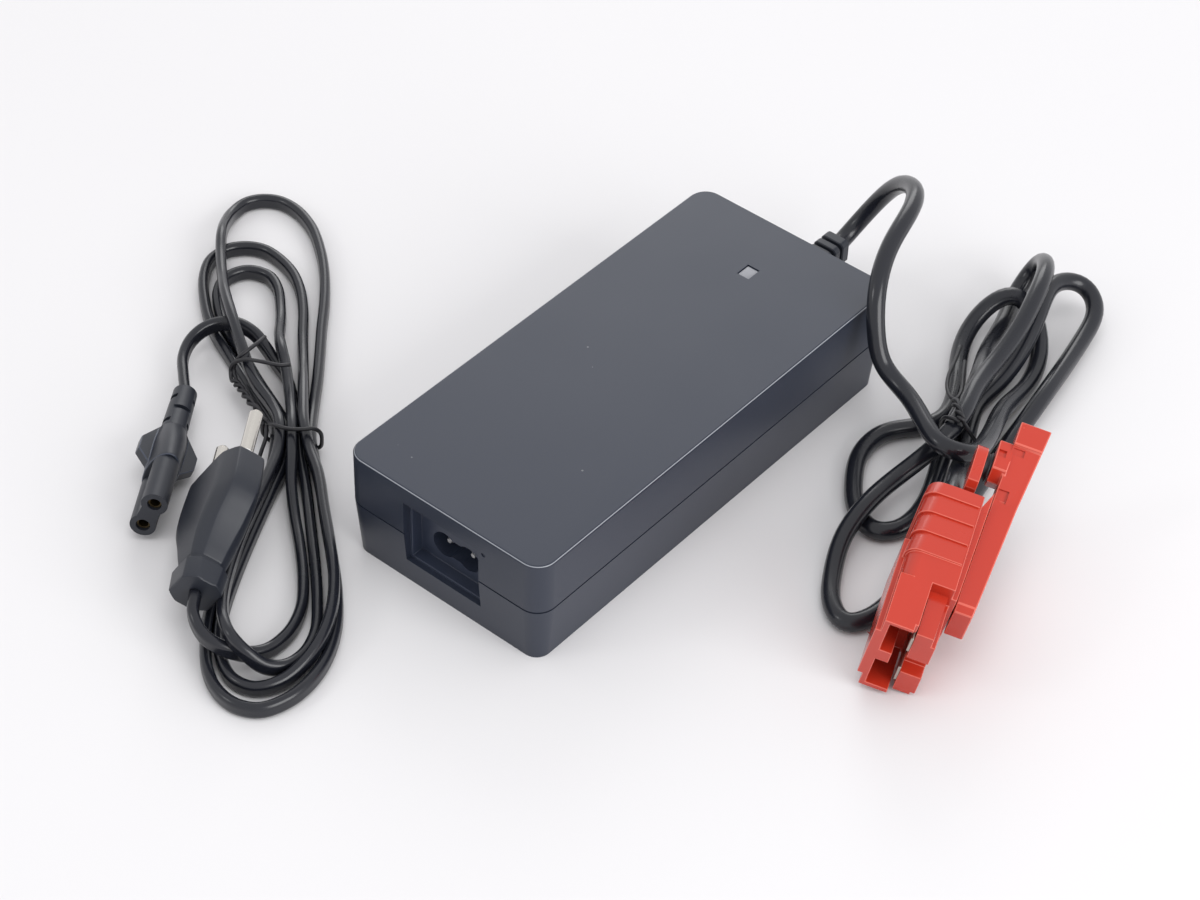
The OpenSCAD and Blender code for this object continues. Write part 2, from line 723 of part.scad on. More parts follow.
// Outline round the three strands of the output cord that the tie holds
module tie_loop(r) {
    hull() {
        for (p = tied_strands) translate(p) circle(r, $fn = 24);
    }
}

// Wire tie round the middle strands of the output cord
module output_cord_tie() {
    color("#141414") {
        translate([70, 67.5, 0]) rotate([90, 0, 17]) linear_extrude(tie_t, center = true)
            difference() {
                tie_loop(cord_d / 2 + tie_room + tie_t);
                tie_loop(cord_d / 2 + tie_room);
            }
        tube([[65.6, 66.2, 14], [62, 67, 16], [59, 69, 17]], 2 * tie_t, 2 * tie_t, 6);
        tube([[59.2, 69, 17], [54, 74, 14], [47, 84, 9], [43, 93, 5]], tie_t, tie_t, 6);
    }
}

// Puts its children where the appliance connector lies, nose at the origin
module at_iec() {
    translate(iec_at) rotate([0, 0, iec_turn]) rotate([0, -iec_tip, 0])
        rotate([iec_lean, 0, 0]) rotate([90, 0, 90]) children();
}

module mains_connector_nose() {
    color("#202124") at_iec() difference() {
        linear_extrude(nose_l) rotate(90) figure_eight(nose_r);
        for (y = [-1, 1]) translate([0, y * pin_pitch / 2, -over])
            cylinder(d = pin_d + 1.6, h = nose_l - 1 + over);
    }
}

module mains_connector_contacts() {
    color("goldenrod") at_iec() for (y = [-1, 1]) translate([0, y * pin_pitch / 2, 1]) difference() {
        cylinder(d = pin_d + 1.4, h = nose_l - 2);
        translate([0, 0, -over]) cylinder(d = pin_d + 0.4, h = nose_l - 4 + over);
    }
}

module mains_connector_body() {
    body_top = nose_l + iec_body_l;
    color("#26272a") at_iec() {
        hull() {
            translate([0, 0, nose_l]) linear_extrude(1) scale([4.6, 8.8]) circle(1, $fn = 32);
            translate([0, 0, nose_l + 10]) linear_extrude(1) scale([4.8, 7.2]) circle(1, $fn = 32);
        }
        hull() {
            translate([0, 0, nose_l + 10]) linear_extrude(1) scale([4.8, 7.2]) circle(1, $fn = 32);
            translate([0, 0, body_top - 0.5]) linear_extrude(0.5) circle(relief_d / 2, $fn = 32);
        }
        // Finger wings
        rotate([90, 0, 0]) linear_extrude(3, center = true) polygon([
            [-4, nose_l + 1], [-8.5, nose_l + 6], [-8.5, nose_l + 11], [-4, nose_l + 18],
            [4, nose_l + 18], [8.5, nose_l + 11], [8.5, nose_l + 6], [4, nose_l + 1]
        ]);
        // Ribbed strain relief
        difference() {
            translate([0, 0, body_top]) cylinder(d = relief_d, h = iec_relief_l);
            for (i = [0:2]) translate([0, 0, body_top + 1.5 + 5.5 * i])
                rotate([0, 0, 90 * (i % 2)]) for (x = [-1, 1])
                    translate([x * (relief_d / 2 + 1) - 2.5, -relief_d, 0])
                        cube([5, 2 * relief_d, 1.6]);
        }
    }
}

function from_iec(v) = iec_at + turn_z(iec_turn, turn_y(-iec_tip, turn_x(iec_lean, v)));
function from_mains(v) = mains_at + turn_z(mains_turn, turn_y(-mains_tip, turn_x(mains_lean, v)));

// Puts its children where the mains plug lies, rear end at the origin
module at_mains() {
    translate(mains_at) rotate([0, 0, mains_turn]) rotate([0, -mains_tip, 0])
        rotate([mains_lean, 0, 0]) rotate([90, 0, 90]) children();
}

// Slab of the plug body with an eight sided section
module plug_slab(z, half_w, half_t, edge) {
    translate([0, 0, z]) linear_extrude(0.02) polygon([
        [-edge, half_w], [-half_t, half_w * 0.62], [-half_t, -half_w * 0.62], [-edge, -half_w],
        [edge, -half_w], [half_t, -half_w * 0.62], [half_t, half_w * 0.62], [edge, half_w]
    ]);
}

module mains_plug_body() {
    color("#232427") at_mains() difference() {
        union() {
            hull() {
                plug_slab(0, 6.5, 6.2, 3);
                plug_slab(mains_flange_l, 7, 6.5, 3.4);
            }
            hull() {
                plug_slab(mains_flange_l - 0.1, 5.5, 5.2, 3);
                plug_slab(mains_flange_l + 2, 5.5, 5.2, 3);
            }
            hull() {
                plug_slab(mains_flange_l + 1.9, 5.8, 5.4, 3);
                plug_slab(mains_flange_l + 13, 11, 6.8, 4);
                plug_slab(mains_flange_l + 22, 16, 6.85, 4);
                plug_slab(mains_flange_l + 26, 16, 6.85, 4);
                plug_slab(mains_body_l - 0.02, 14.4, 6.6, 4);
            }
        }
        for (y = [-1, 1]) translate([0, y * mains_pitch / 2, mains_body_l - mains_root_l - fit])
            cylinder(d = mains_root_d + fit, h = mains_root_l + fit + over);
    }
}

module mains_plug_sleeves() {
    color("white") at_mains() for (y = [-1, 1])
        translate([0, y * mains_pitch / 2, mains_body_l]) difference() {
            cylinder(d = mains_pin_d, h = sleeve_l);
            translate([0, 0, -over]) cylinder(d = mains_root_d + fit, h = sleeve_l + 2 * over);
        }
}

module mains_plug_pins() {
    color("silver") at_mains() for (y = [-1, 1])
        translate([0, y * mains_pitch / 2, mains_body_l]) {
            translate([0, 0, -mains_root_l]) cylinder(d = mains_root_d, h = mains_root_l + sleeve_l);
            translate([0, 0, sleeve_l]) cylinder(d = mains_pin_d, h = mains_pin_l - 1 - sleeve_l);
            translate([0, 0, mains_pin_l - 1])
                cylinder(d1 = mains_pin_d, d2 = mains_pin_d - 1.4, h = 1);
        }
}

module mains_cord_upper() {
    color("#1b1c1e") tube(concat([from_iec([iec_l, 0, 0])], upper_lead), mains_t, mains_w, 8);
}

module mains_cord_lower() {
    color("#1b1c1e") tube(concat([from_mains([0, 0, 0])], lower_lead), mains_w, mains_t, 8);
}

// Outline round two circles of different size, as one polygon
function heading(a, b) = atan2(b.y - a.y, b.x - a.x);
function arc(c, r, a0, a1, n) =
    [for (i = [0:n]) let(a = a0 + (a1 - a0) * i / n) c + r * [cos(a), sin(a)]];
function loop_outline(a, b, ra, rb, n = 12) =
    let(h = heading(a, b), s = acos((ra - rb) / norm(b - a)))
    concat(arc(b, rb, h - s, h + s, n), arc(a, ra, h + s, h + 360 - s, n));

// One half of the hank: an open loop whose strands end in a round turn
module hank_half(side, end, r, hole_a, hole_b, hole_ra, hole_rb) {
    gap = tie_t + 2 * tie_clear;
    difference() {
        linear_extrude(hank_h) difference() {
            polygon(loop_outline(waist, end, waist_r, r));
            polygon(loop_outline(hole_a, hole_b, hole_ra, hole_rb));
        }
        // Each half stops at the tie
        translate([waist.x, waist.y, -over]) rotate([0, 0, heading(lower_end, upper_end)])
            translate([side > 0 ? -40 : 0, -40, 0]) cube([40, 80, hank_h + 2 * over]);
        // Room under the strands for the tie
        translate([waist.x, waist.y, -over]) rotate([0, 0, tie_turn])
            translate([-20, -gap, 0]) cube([40, 2 * gap, over + tie_t + 0.3 + tie_clear]);
    }
}

module mains_hank_upper() {
    color("#1b1c1e") hank_half(1, upper_end, upper_r, [-107, -33], [-127, -18], 4, 6);
}

module mains_hank_lower() {
    color("#1b1c1e") hank_half(-1, lower_end, lower_r, [-47, -93], [-31, -110], 4, 7);
}

// Wire tie round the waist of the hank, with its twisted stem and open ends
module mains_cord_tie() {
    half = waist_r + tie_slack;
    color("#141414") {
        translate([waist.x, waist.y, 0.2 + (hank_h + tie_t) / 2 + tie_clear / 2])
            rotate([90, 0, tie_turn]) linear_extrude(tie_t, center = true) difference() {
                plate(2 * (half + tie_t), hank_h + tie_t + tie_clear, 2);
                plate(2 * half, hank_h - tie_t + tie_clear, 1);
            }
        tube([[-82, -64, 6], [-88, -61, 5], [-96, -58, 4], [-103, -56, 4]],
            2 * tie_t, 2 * tie_t, 6);
        tube([[-103, -56, 4], [-107, -52, 8], [-104, -46, 11.4], [-95, -42, 11.4]], tie_t, tie_t, 6);
    }
}

top_cover();
bottom_cover();
indicator_window();
inlet_housing();
inlet_pins();
circuit_board();
status_led();
fuse();
input_choke();
x_capacitor();
bridge_rectifier();
bulk_capacitor();
transformer_core();
transformer_winding();
primary_heat_sink();
power_transistor();
secondary_heat_sink();
output_diode();
output_capacitors();
output_leads();
cord_gland();
output_cord();
plug_housing();
plug_contacts();
latch_lever();
latch_pin();
latch_spring();
output_cord_tie();
mains_connector_body();
mains_connector_nose();
mains_connector_contacts();
mains_plug_body();
mains_plug_sleeves();
mains_plug_pins();
mains_cord_upper();
mains_cord_lower();
mains_hank_upper();
mains_hank_lower();
mains_cord_tie();
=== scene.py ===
import math

import bmesh
import bpy
from bpy.props import FloatProperty, FloatVectorProperty, PointerProperty
from mathutils import Matrix, Vector


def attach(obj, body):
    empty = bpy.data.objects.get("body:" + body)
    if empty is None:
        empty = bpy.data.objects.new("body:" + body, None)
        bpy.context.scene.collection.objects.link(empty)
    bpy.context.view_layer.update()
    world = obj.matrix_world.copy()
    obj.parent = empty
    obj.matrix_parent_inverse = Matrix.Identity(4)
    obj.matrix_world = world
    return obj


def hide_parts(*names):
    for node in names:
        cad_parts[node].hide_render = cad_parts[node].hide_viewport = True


bl_info = {
    "name": "Battery Charger Dressing",
    "version": (1, 0, 0),
    "blender": (4, 5, 0),
    "location": "View3D > Sidebar > Charger",
    "description": "Dresses a power brick, its battery connector and its mains lead",
    "category": "Object",
}

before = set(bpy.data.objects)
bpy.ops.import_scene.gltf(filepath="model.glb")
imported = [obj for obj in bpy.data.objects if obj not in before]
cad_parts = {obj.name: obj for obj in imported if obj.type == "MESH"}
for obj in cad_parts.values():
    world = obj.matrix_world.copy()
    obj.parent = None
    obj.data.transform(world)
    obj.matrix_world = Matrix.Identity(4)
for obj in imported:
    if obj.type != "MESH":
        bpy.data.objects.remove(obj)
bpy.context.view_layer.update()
MM = 0.001

# Output cord

# The route from the gland to the battery connector, in millimetres
OUTPUT_ROUTE = [
    (0, 100, 18), (0, 107, 20), (5, 113, 31), (13, 111, 42), (23, 103, 49), (29, 91, 51),
    (32, 78, 49), (37, 66, 44), (42, 60, 34), (47, 58, 25), (57, 56, 22),
    (67, 50, 22), (76, 45, 22), (83, 49, 20), (82, 58, 15), (78, 71, 11),
    (73, 84, 7), (71, 98, 3), (67, 112, 3), (58, 123, 7), (49, 123, 12),
    (44, 114, 7), (46, 102, 3), (53, 90, 3), (60, 76, 3), (58, 66, 3),
    (51, 57, 3), (51, 45, 3), (56, 35, 3), (64, 25, 3), (73, 22, 3),
    (78, 29, 3), (77, 40, 3), (73, 51, 3), (69, 61, 7), (66, 72, 10),
    (63, 84, 10), (57, 97, 7), (52, 109, 3), (49, 121, 3), (45, 132, 4),
    (47, 140, 13), (56, 128, 22), (61, 114, 22), (64, 101, 19), (65, 88, 16),
    (67, 76, 16), (71, 64, 16), (71, 51, 13), (68, 38, 9), (68, 25, 9),
    (69, 12, 6), (74, 1, 3), (80, -8, 3), (88, -12, 3), (92, -4, 3),
    (92, 6, 3), (91, 20, 3), (88, 36, 3), (85, 52, 3), (82, 68, 3),
    (80, 84, 4), (78, 99, 6), (75, 114, 5), (72, 128, 5), (69, 139, 7),
    (61, 143, 10), (56, 134, 13), (60, 121, 13), (63, 109, 8), (64, 97, 4),
    (64, 86, 3), (67, 77, 4), (72, 67, 5), (78, 56, 9), (84, 43, 17),
    (91, 30, 24), (95.18, 20.05, 23.03),
]

# Mains cord

# The hank has its own frame: along its length, across it and up, in millimetres
HANK_WAIST = (-74, -59)
HANK_TURN = math.radians(135.49)
MAINS_ROUTE = [
    # From the appliance connector over the left strands to the waist
    (18.3, -30.6, 5.8), (26, -31.2, 5.7), (34, -31.4, 5.6), (40.5, -29.3, 6.3),
    (44.5, -25.3, 7.4), (46.2, -20.5, 7.9), (45.5, -15.2, 7.9), (42.6, -10.6, 6.6),
    (38.4, -7.4, 4.6), (33.4, -4.6, 3), (27, -1.6, 2.6), (17, 0.4, 2.5), (8, 1.6, 2.5),
    (0, 1.7, 3.6),
    # First lower loop, whose left limb lies on the other strands
    (-8, 1.9, 2.5), (-19, 3, 2.5), (-29, 3.7, 2.5), (-39, 4.3, 2.5), (-52, 5, 2.5),
    (-65, 5.2, 2.5), (-76, 4.4, 2.5), (-83.5, 1.3, 2.5), (-88, -3.7, 3), (-89.6, -9, 5.2),
    (-88.4, -14, 9.6), (-85, -17.6, 12.4), (-79, -19.5, 12.6), (-70, -19.8, 10.6),
    (-60, -18.8, 8.6), (-50, -16.8, 7.6), (-41, -14.4, 7.5), (-30, -10.8, 7.5),
    (-19, -7, 7.5), (-9, -4.2, 7.5), (0, -3.6, 8.5),
    # Outer upper loop, whose left limb passes over everything
    (8, -5.2, 7.7), (20, -10.8, 8.9), (32, -14.2, 11.6), (44, -16.8, 13), (56, -18.8, 11.6),
    (67, -19.7, 8.8), (78, -20.2, 7.6), (88, -20, 7.4), (97, -18.9, 4.8), (104, -16.8, 2.9),
    (108.8, -13, 2.5), (110.4, -7.8, 2.5), (109.2, -2.2, 2.5), (104.6, 2.9, 2.5), (95.5, 7.5, 2.5),
    (84, 9.9, 2.5), (72, 10.8, 2.5), (59.5, 10.4, 2.5), (48, 9.3, 2.5), (36, 8.4, 2.5),
    (24.5, 7.4, 2.5), (13, 6, 2.5), (0, 5, 3.6),
    # Outer lower loop, on the floor
    (-9, 5.8, 2.5), (-20, 7.2, 2.5), (-34, 8.3, 2.5), (-48, 9.7, 2.5), (-62, 10.6, 2.5),
    (-75, 9.9, 2.5), (-86, 6.9, 2.5), (-94.5, 1.9, 2.5), (-100, -4.2, 2.5), (-102.4, -10.8, 2.5),
    (-100.5, -17, 2.5), (-95, -21.8, 2.5), (-87, -24.4, 2.5), (-78, -24.8, 2.5), (-68, -24, 2.5),
    (-58, -21.8, 2.5), (-46, -18.3, 2.5), (-34, -14.2, 2.5), (-22, -10.1, 2.5), (-11, -6.4, 2.5),
    (0, -5, 3.6),
    # Middle upper loop
    (6, -5.6, 2.5), (13, -8.3, 2.5), (25.5, -13.4, 2.5), (37, -18, 2.5), (50, -23, 2.5),
    (62, -25.2, 2.5), (74, -25.6, 2.5), (82, -23.4, 2.5), (86.6, -18.2, 2.5), (87.4, -12.4, 2.5),
    (85.6, -7.2, 2.5), (81, -2.8, 2.5), (74, 1.2, 2.5), (66, 3.3, 2.5), (57, 4, 2.5),
    (44, 3.6, 2.5), (33, 3.5, 3.3), (22, 3.4, 5.7), (12, 3.2, 7.4), (0, 3.2, 8.5),
    # Middle lower loop, whose right limb lies on the outer one
    (-9, 4.5, 7.5), (-20, 6.8, 7.6), (-34, 8, 7.6), (-48, 9.3, 7.6), (-61, 10, 7.5),
    (-72, 9, 7.3), (-81, 6.2, 6.3), (-88.5, 1.2, 4.4), (-93.5, -5, 3), (-95, -12, 2.6),
    (-91.5, -17.6, 2.5), (-84, -20.6, 2.5), (-75, -21.2, 2.5), (-66, -20, 2.5), (-56, -17.6, 2.5),
    (-45, -14.4, 2.5), (-33, -10.6, 2.5), (-21, -6.6, 2.5), (-10, -2.8, 2.5), (0, -1.7, 3.6),
    # Inner upper loop
    (6, -2.1, 2.5), (14, -5, 2.5), (25.5, -9.8, 2.5), (37.5, -14.2, 2.5), (50, -19.2, 2.5),
    (60, -21.2, 2.5), (66.8, -21.4, 2.5), (73.2, -18.7, 2.5), (76, -12.6, 2.5), (73.4, -6.4, 2.5),
    (67.4, -3.5, 2.5), (56, -2.7, 2.8), (48, -2.9, 4.4), (40, -3.2, 7),
    (33, -2.6, 8.8), (26, -1.6, 8.2), (17, -0.8, 7.6), (8, -0.3, 7.5), (0, -0.2, 8.5),
    # Run to the mains plug, under the first lower loop
    (-12, -0.5, 7.1), (-21, -0.9, 4.9), (-31, -0.3, 2.9), (-43, 0.9, 2.5), (-56, 1.5, 2.5),
    (-67, 0.7, 2.5), (-75.5, -2.6, 2.5), (-81, -7.6, 2.6), (-84, -12.5, 4.2), (-85.4, -17, 6.9),
    (-84.8, -21.4, 9), (-82, -25.2, 10.8), (-77, -27.4, 13.2), (-70.8, -26.8, 14.6),
]

# Wire ties, in millimetres: a ring round the strands, a twisted stem and two open ends
OUTPUT_TIE = {
    "ring": [(76.4, 62, 13.5), (77.6, 65, 7.5), (76.8, 67, 2.8), (72.5, 68.5, 1.2),
             (68, 67.5, 2.6), (64.8, 64.5, 8), (66.8, 61, 14.5), (69, 58.8, 18.2),
             (71.5, 58.6, 19.5)],
    "stem": [(73.8, 59.2, 19.3), (72.9, 60.2, 20), (69.6, 63, 19.6), (66.2, 67.9, 16.8)],
    "ends": [[(63.6, 69.7, 15), (59.5, 73.8, 13.5), (56.2, 79.3, 12.5), (54, 84.7, 11.5),
              (51.8, 90.2, 10.5), (49.8, 95.1, 10)],
             [(65, 71.2, 15), (63.4, 75.4, 14), (59.6, 81.6, 13), (55.7, 88.4, 12)]],
    "tail": [],
    "turns": 2.0,
}
MAINS_TIE = {
    "ring": [(-75.3, -64.6, 11.6), (-70.7, -63.2, 12), (-67.5, -60.4, 12), (-66.1, -58.3, 11.6),
             (-65.1, -56.9, 9.8), (-65.4, -56.1, 6), (-66.9, -55.6, 2), (-70, -57, 0.6),
             (-79, -62, 0.6), (-81.6, -63.6, 4)],
    "stem": [(-80.6, -63.4, 8.4), (-85.1, -61.3, 8), (-92.3, -58.6, 7.2), (-97.7, -56.5, 6.8),
             (-101.5, -55.2, 6.8)],
    "ends": [[(-103.7, -54.3, 8), (-103.7, -53.8, 10), (-102, -53.5, 12.5), (-99.1, -52.5, 14.5),
              (-95.6, -51.5, 15.4), (-92.7, -50.3, 15.6), (-89.3, -48.5, 15.4),
              (-87.7, -45.6, 14.6)],
             [(-103.4, -53.4, 8.5), (-102.8, -52.7, 11.5), (-101.4, -52.2, 14.2),
              (-100.7, -49.7, 15.2), (-101.1, -45.6, 15), (-102.1, -41.4, 14.2)]],
    "tail": [(-79.9, -63.6, 8), (-77.7, -66.1, 6.5), (-76.4, -69.3, 4.5), (-74.8, -72.3, 3),
             (-71.7, -74.8, 2)],
    "turns": 3.5,
}

# How many sides the round sections have, and how deep a flat cord's waist is
CORD_SIDES = 16
WIRE_SIDES = 10
WAIST_SHARE = 0.07

# A line whose level side is shorter than this runs straight up
STEEPEST = 0.05

# Pieces from one point of a tie's route to the next, along its twist and along its wire
TWIST_STEPS = 8
WIRE_STEPS = 4

# How far each twisted wire lies from the middle of the stem, as a share of its radius
TWIST_REACH = 1.1

# Ends of the cords

# Where each piece's own axes stand, in millimetres and degrees: spot, turn, tip and lean
CONNECTOR_AT = ((109.2, -22.2, 1.4), 22, 8, 10.5)
APPLIANCE_AT = ((-77.2, -112, 9.6), 125.5, 4, 25.5)
MAINS_PLUG_AT = ((-42.3, -127.8, 14.6), 124, -2, 34)
GLAND_AT = (0, 77.5, 18)

# The side rail of the connector's housing, in millimetres of its own axes
RAIL_X = 8.69
RAIL_Y = (14.5, 46.0)
RAIL_NEAR = 0.04
RAIL_FRONT_MARGIN = 0.1
RAIL_WIDER = (0.2, 1.15)
RAIL_REAR_SHARE = 0.98
RAIL_LONGER = 7

# The appliance connector's strain relief: where it starts, its length and how slim it gets
RELIEF_START = 35.3
RELIEF_LENGTH = 18.7
RELIEF_KEEP = (0.86, 0.08)

# How far the indicator window's top lies below the case's, and how near to its top the
# points lie that are lowered, in metres
WINDOW_DROP = 0.0004
WINDOW_NEAR = 1e-4

# The shares by which the corners of an eight sided outline are cut off, pass by pass
CORNER_CUTS = (0.09, 0.25)

# Ribs of the gland, in millimetres along it
GLAND_RIB_START = 0.8
GLAND_RIB_PITCH = 3.7
GLAND_RIB_WIDTH = 2.5
GLAND_RIB_SLOPE = 0.3
GLAND_LAST_RIB = (19.3, 22.5)

# The mains plug from its collar to the face with the pins, in millimetres: height along it,
# half its width, half its thickness and half of the flat of its edge
PLUG_SIZES = [
    (0, 6.1, 5.8, 2.8), (0.5, 6.5, 6.2, 3), (6.5, 7, 6.5, 3.4), (7, 6.6, 6.1, 3.2),
    (7.05, 5.5, 5.2, 3), (8.9, 5.5, 5.2, 3), (9.2, 5.9, 5.5, 3), (12, 7, 6, 3.2),
    (16, 8.8, 6.5, 3.6), (20, 11, 6.8, 4), (24, 13.5, 6.85, 4), (27, 15.2, 6.85, 4),
    (29.5, 15.9, 6.85, 4), (32.5, 15.95, 6.85, 4), (36, 15.6, 6.8, 4),
    (42.2, 14.5, 6.6, 4), (42.7, 14.3, 6.4, 3.9), (43, 13.9, 6, 3.7),
]

# The flat of its broad sides, as a share of its width
PLUG_FLAT_SHARE = 0.62

# Edges

# Rounding of edges, in metres, and the angles that count as flat, sharp and crisp, in degrees
FINE_EDGE = 0.0002
SOFT_EDGE = 0.0003
LEVER_EDGE = 0.00035
MERGE_DISTANCE = 3e-5
FLAT_ANGLE = 1
SHARP_ANGLE = 28
CRISP_ANGLE = 50

# Surfaces

# The depth of a moulded grain, and the scale, strength and depth of a metal's, in metres
MOULDED_DEPTH = 0.0002
METAL_GRAIN = (1500.0, 0.02, 0.0001)

# Tones that lie over a material's own colour: a painted highlight on its rounded edges, and its
# dust
PAINTED_HIGHLIGHT_TONE = (0.5, 0.52, 0.56, 1)
DUST_TONE = (0.62, 0.62, 0.6, 1)

# Camera and light

# Angles in degrees, place in millimetres, focal length and frame in pixels
CAMERA_ANGLES = (38.709, 43.238, -2.03)
CAMERA_PLACE = (382.0, -487.7, 585.8)
FOCAL_PX = 2974.0
FRAME_PX = 1200.0

FLOOR_HALF = 4.0
FLOOR_TONES = ((0.702, 0.694, 0.703, 1), (0.72, 0.712, 0.721, 1))
SKY_COLOR = (0.985, 0.985, 1, 1)
SKY_STRENGTH = 0.83

# Each lamp's name, place and size in metres, power in watts, and whether gloss mirrors it
LAMPS = [
    ("Overhead", (0.2, -0.2, 1.9), 1.2, 9.4, False),
    ("Back panel", (-1.15, 1.45, 0.95), 1.0, 7.5, True),
    ("Front left edge", (-0.95, -1.4, 1.2), 0.4, 2.5, True),
    ("Right panel", (1.6, -0.1, 0.75), 1.2, 19.0, True),
]

# Lines and meshes


def from_hank(point):
    """A point of the hank's frame as a point of the shared frame, in metres."""
    u, v, z = point
    c, s = math.cos(HANK_TURN), math.sin(HANK_TURN)
    return Vector((HANK_WAIST[0] + u * c + v * s, HANK_WAIST[1] + u * s - v * c, z)) * MM


def curve_steps():
    """How many pieces a curve has from one point of its route to the next."""
    return 6


def smooth_line(points, steps):
    """Points along a smooth curve through the given ones."""
    ends = [2 * points[0] - points[1]] + list(points) + [2 * points[-1] - points[-2]]
    line = []
    for i in range(1, len(ends) - 2):
        p0, p1, p2, p3 = ends[i - 1:i + 3]
        k1, k2, k3 = [max((b - a).length, 1e-6) ** 0.5 for a, b in ((p0, p1), (p1, p2), (p2, p3))]
        m1 = ((p1 - p0) / k1 - (p2 - p0) / (k1 + k2) + (p2 - p1) / k2) * k2
        m2 = ((p2 - p1) / k2 - (p3 - p1) / (k2 + k3) + (p3 - p2) / k3) * k2
        for j in range(steps):
            t = j / steps
            a, b = 2 * t ** 3 - 3 * t ** 2 + 1, -2 * t ** 3 + 3 * t ** 2
            c, d = t ** 3 - 2 * t ** 2 + t, t ** 3 - t ** 2
            line.append(p1 * a + p2 * b + m1 * c + m2 * d)
    line.append(ends[-2].copy())
    return line


def fair_line(points, steps):
    """Points along a line that bends evenly and passes close by the given ones."""
    inner = [(8 * b - a - c) / 6 for a, b, c in zip(points, points[1:], points[2:])]
    knots = [points[0]] + inner + [points[-1]]
    knots = [2 * knots[0] - knots[1]] + knots + [2 * knots[-1] - knots[-2]]
    line = []
    for a, b, c, d in zip(knots, knots[1:], knots[2:], knots[3:]):
        for j in range(steps):
            t = j / steps
            line.append((a * (1 - t) ** 3 + b * (3 * t ** 3 - 6 * t ** 2 + 4)
                         + c * (-3 * t ** 3 + 3 * t ** 2 + 3 * t + 1) + d * t ** 3) / 6)
    line.append(points[-1].copy())
    return line


def above_floor(line, half):
    """The line, held high enough for what lies along it to rest on the floor."""
    return [Vector((p.x, p.y, max(p.z, half))) for p in line]


def round_section(radius, sides):
    """Points of a circle, as offsets to the side and up."""
    angles = [2 * math.pi * k / sides for k in range(sides)]
    return [(radius * math.cos(a), radius * math.sin(a)) for a in angles]


def flat_section(width, thickness):
    """Section of a two core cord on its edge, with a shallow waist between the cores."""
    r = thickness / 2
    dip = WAIST_SHARE * thickness
    reach = width / 2 - r
    arc = [math.radians(a) for a in (0, 30, 60, 90, 120, 150, 180)]
    top = [(r * math.cos(a), reach + r * math.sin(a)) for a in arc]
    bottom = [(-x, -y) for x, y in top]
    return top + [(-r + dip, 0)] + bottom + [(r - dip, 0)]


def add_piece(name, mesh, material, nodes, body="charger"):
    """Links a mesh as a smooth piece that rides on a body and stands for CAD nodes."""
    piece = bpy.data.objects.new(name, mesh)
    bpy.context.scene.collection.objects.link(piece)
    for face in mesh.polygons:
        face.use_smooth = True
    mesh.materials.append(material)
    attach(piece, body)
    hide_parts(*nodes)
    return piece


def finished_mesh(name, bm):
    """The mesh that was built in bm, which is freed."""
    mesh = bpy.data.meshes.new(name)
    bm.to_mesh(mesh)
    bm.free()
    return mesh


def heading(line, i):
    """Direction of the line at its point i."""
    return (line[min(i + 1, len(line) - 1)] - line[max(i - 1, 0)]).normalized()


def bridge(bm, first, second):
    """Adds the faces between two closed loops of vertices."""
    for k, a in enumerate(first):
        m = (k + 1) % len(first)
        bm.faces.new((a, second[k], second[m], first[m]))


def swept_mesh(name, lines, section, level=False):
    """Closed tubes of the section along the lines; level keeps the section upright."""
    bm = bmesh.new()
    for line in lines:
        sweep(bm, line, section, level)
    bmesh.ops.recalc_face_normals(bm, faces=bm.faces)
    return finished_mesh(name, bm)


def sweep(bm, line, section, level):
    """Adds one tube to the mesh."""
    rings = []
    side = None
    for i, point in enumerate(line):
        ahead = heading(line, i)
        if level or side is None:
            side = ahead.cross(Vector((0, 0, 1)))
            if side.length < STEEPEST:
                side = Vector((1, 0, 0))
        side = (side - ahead * side.dot(ahead)).normalized()
        up = side.cross(ahead)
        rings.append([bm.verts.new(point + side * x + up * y) for x, y in section])
    for a, b in zip(rings, rings[1:]):
        bridge(bm, a, b)
    bm.faces.new(rings[0])
    bm.faces.new(list(reversed(rings[-1])))


def twisted_pair(line, offset, turns):
    """Two lines that wind round the given one."""
    first, second = [], []
    for i, point in enumerate(line):
        ahead = heading(line, i)
        side = ahead.cross(Vector((0, 0, 1))).normalized()
        angle = 2 * math.pi * turns * i / (len(line) - 1)
        out = (side * math.cos(angle) + side.cross(ahead) * math.sin(angle)) * offset
        first.append(point + out)
        second.append(point - out)
    return first, second


def wire_tie(name, node, shape):
    """A wire tie: its wire runs from one open end down the stem, round the ring and back up."""
    radius = finish().tie_diameter / 2
    place = {key: [Vector(p) * MM for p in shape[key]] for key in ("ring", "stem", "tail")}
    ends = [[Vector(p) * MM for p in end] for end in shape["ends"]]
    going, coming = twisted_pair(smooth_line(place["stem"], TWIST_STEPS),
                                 TWIST_REACH * radius, shape["turns"])
    way = ends[0][::-1] + going[::-1] + place["ring"] + coming + ends[1]
    lines = [above_floor(smooth_line(way, WIRE_STEPS), radius)]
    if place["tail"]:
        lines.append(above_floor(smooth_line(place["tail"], WIRE_STEPS), radius))
    mesh = swept_mesh(name, lines, round_section(radius, WIRE_SIDES))
    return add_piece(name, mesh, tie_jacket(), (node,))


def placed(spot, turn, tip, lean, upright=True):
    """Where a piece of its own axes stands in the shared frame, from millimetres."""
    pose = Matrix.Translation(Vector(spot) * MM) @ Matrix.Rotation(math.radians(turn), 4, "Z")
    if upright:
        pose = pose @ Matrix.Rotation(math.radians(tip), 4, "Y")
        pose = pose @ Matrix.Rotation(math.radians(lean), 4, "X")
        pose = pose @ Matrix.Rotation(math.radians(90), 4, "Z")
        pose = pose @ Matrix.Rotation(math.radians(90), 4, "X")
    else:
        pose = pose @ Matrix.Rotation(math.radians(tip), 4, "X")
        pose = pose @ Matrix.Rotation(math.radians(lean), 4, "Y")
    return pose @ Matrix.Scale(MM, 4)


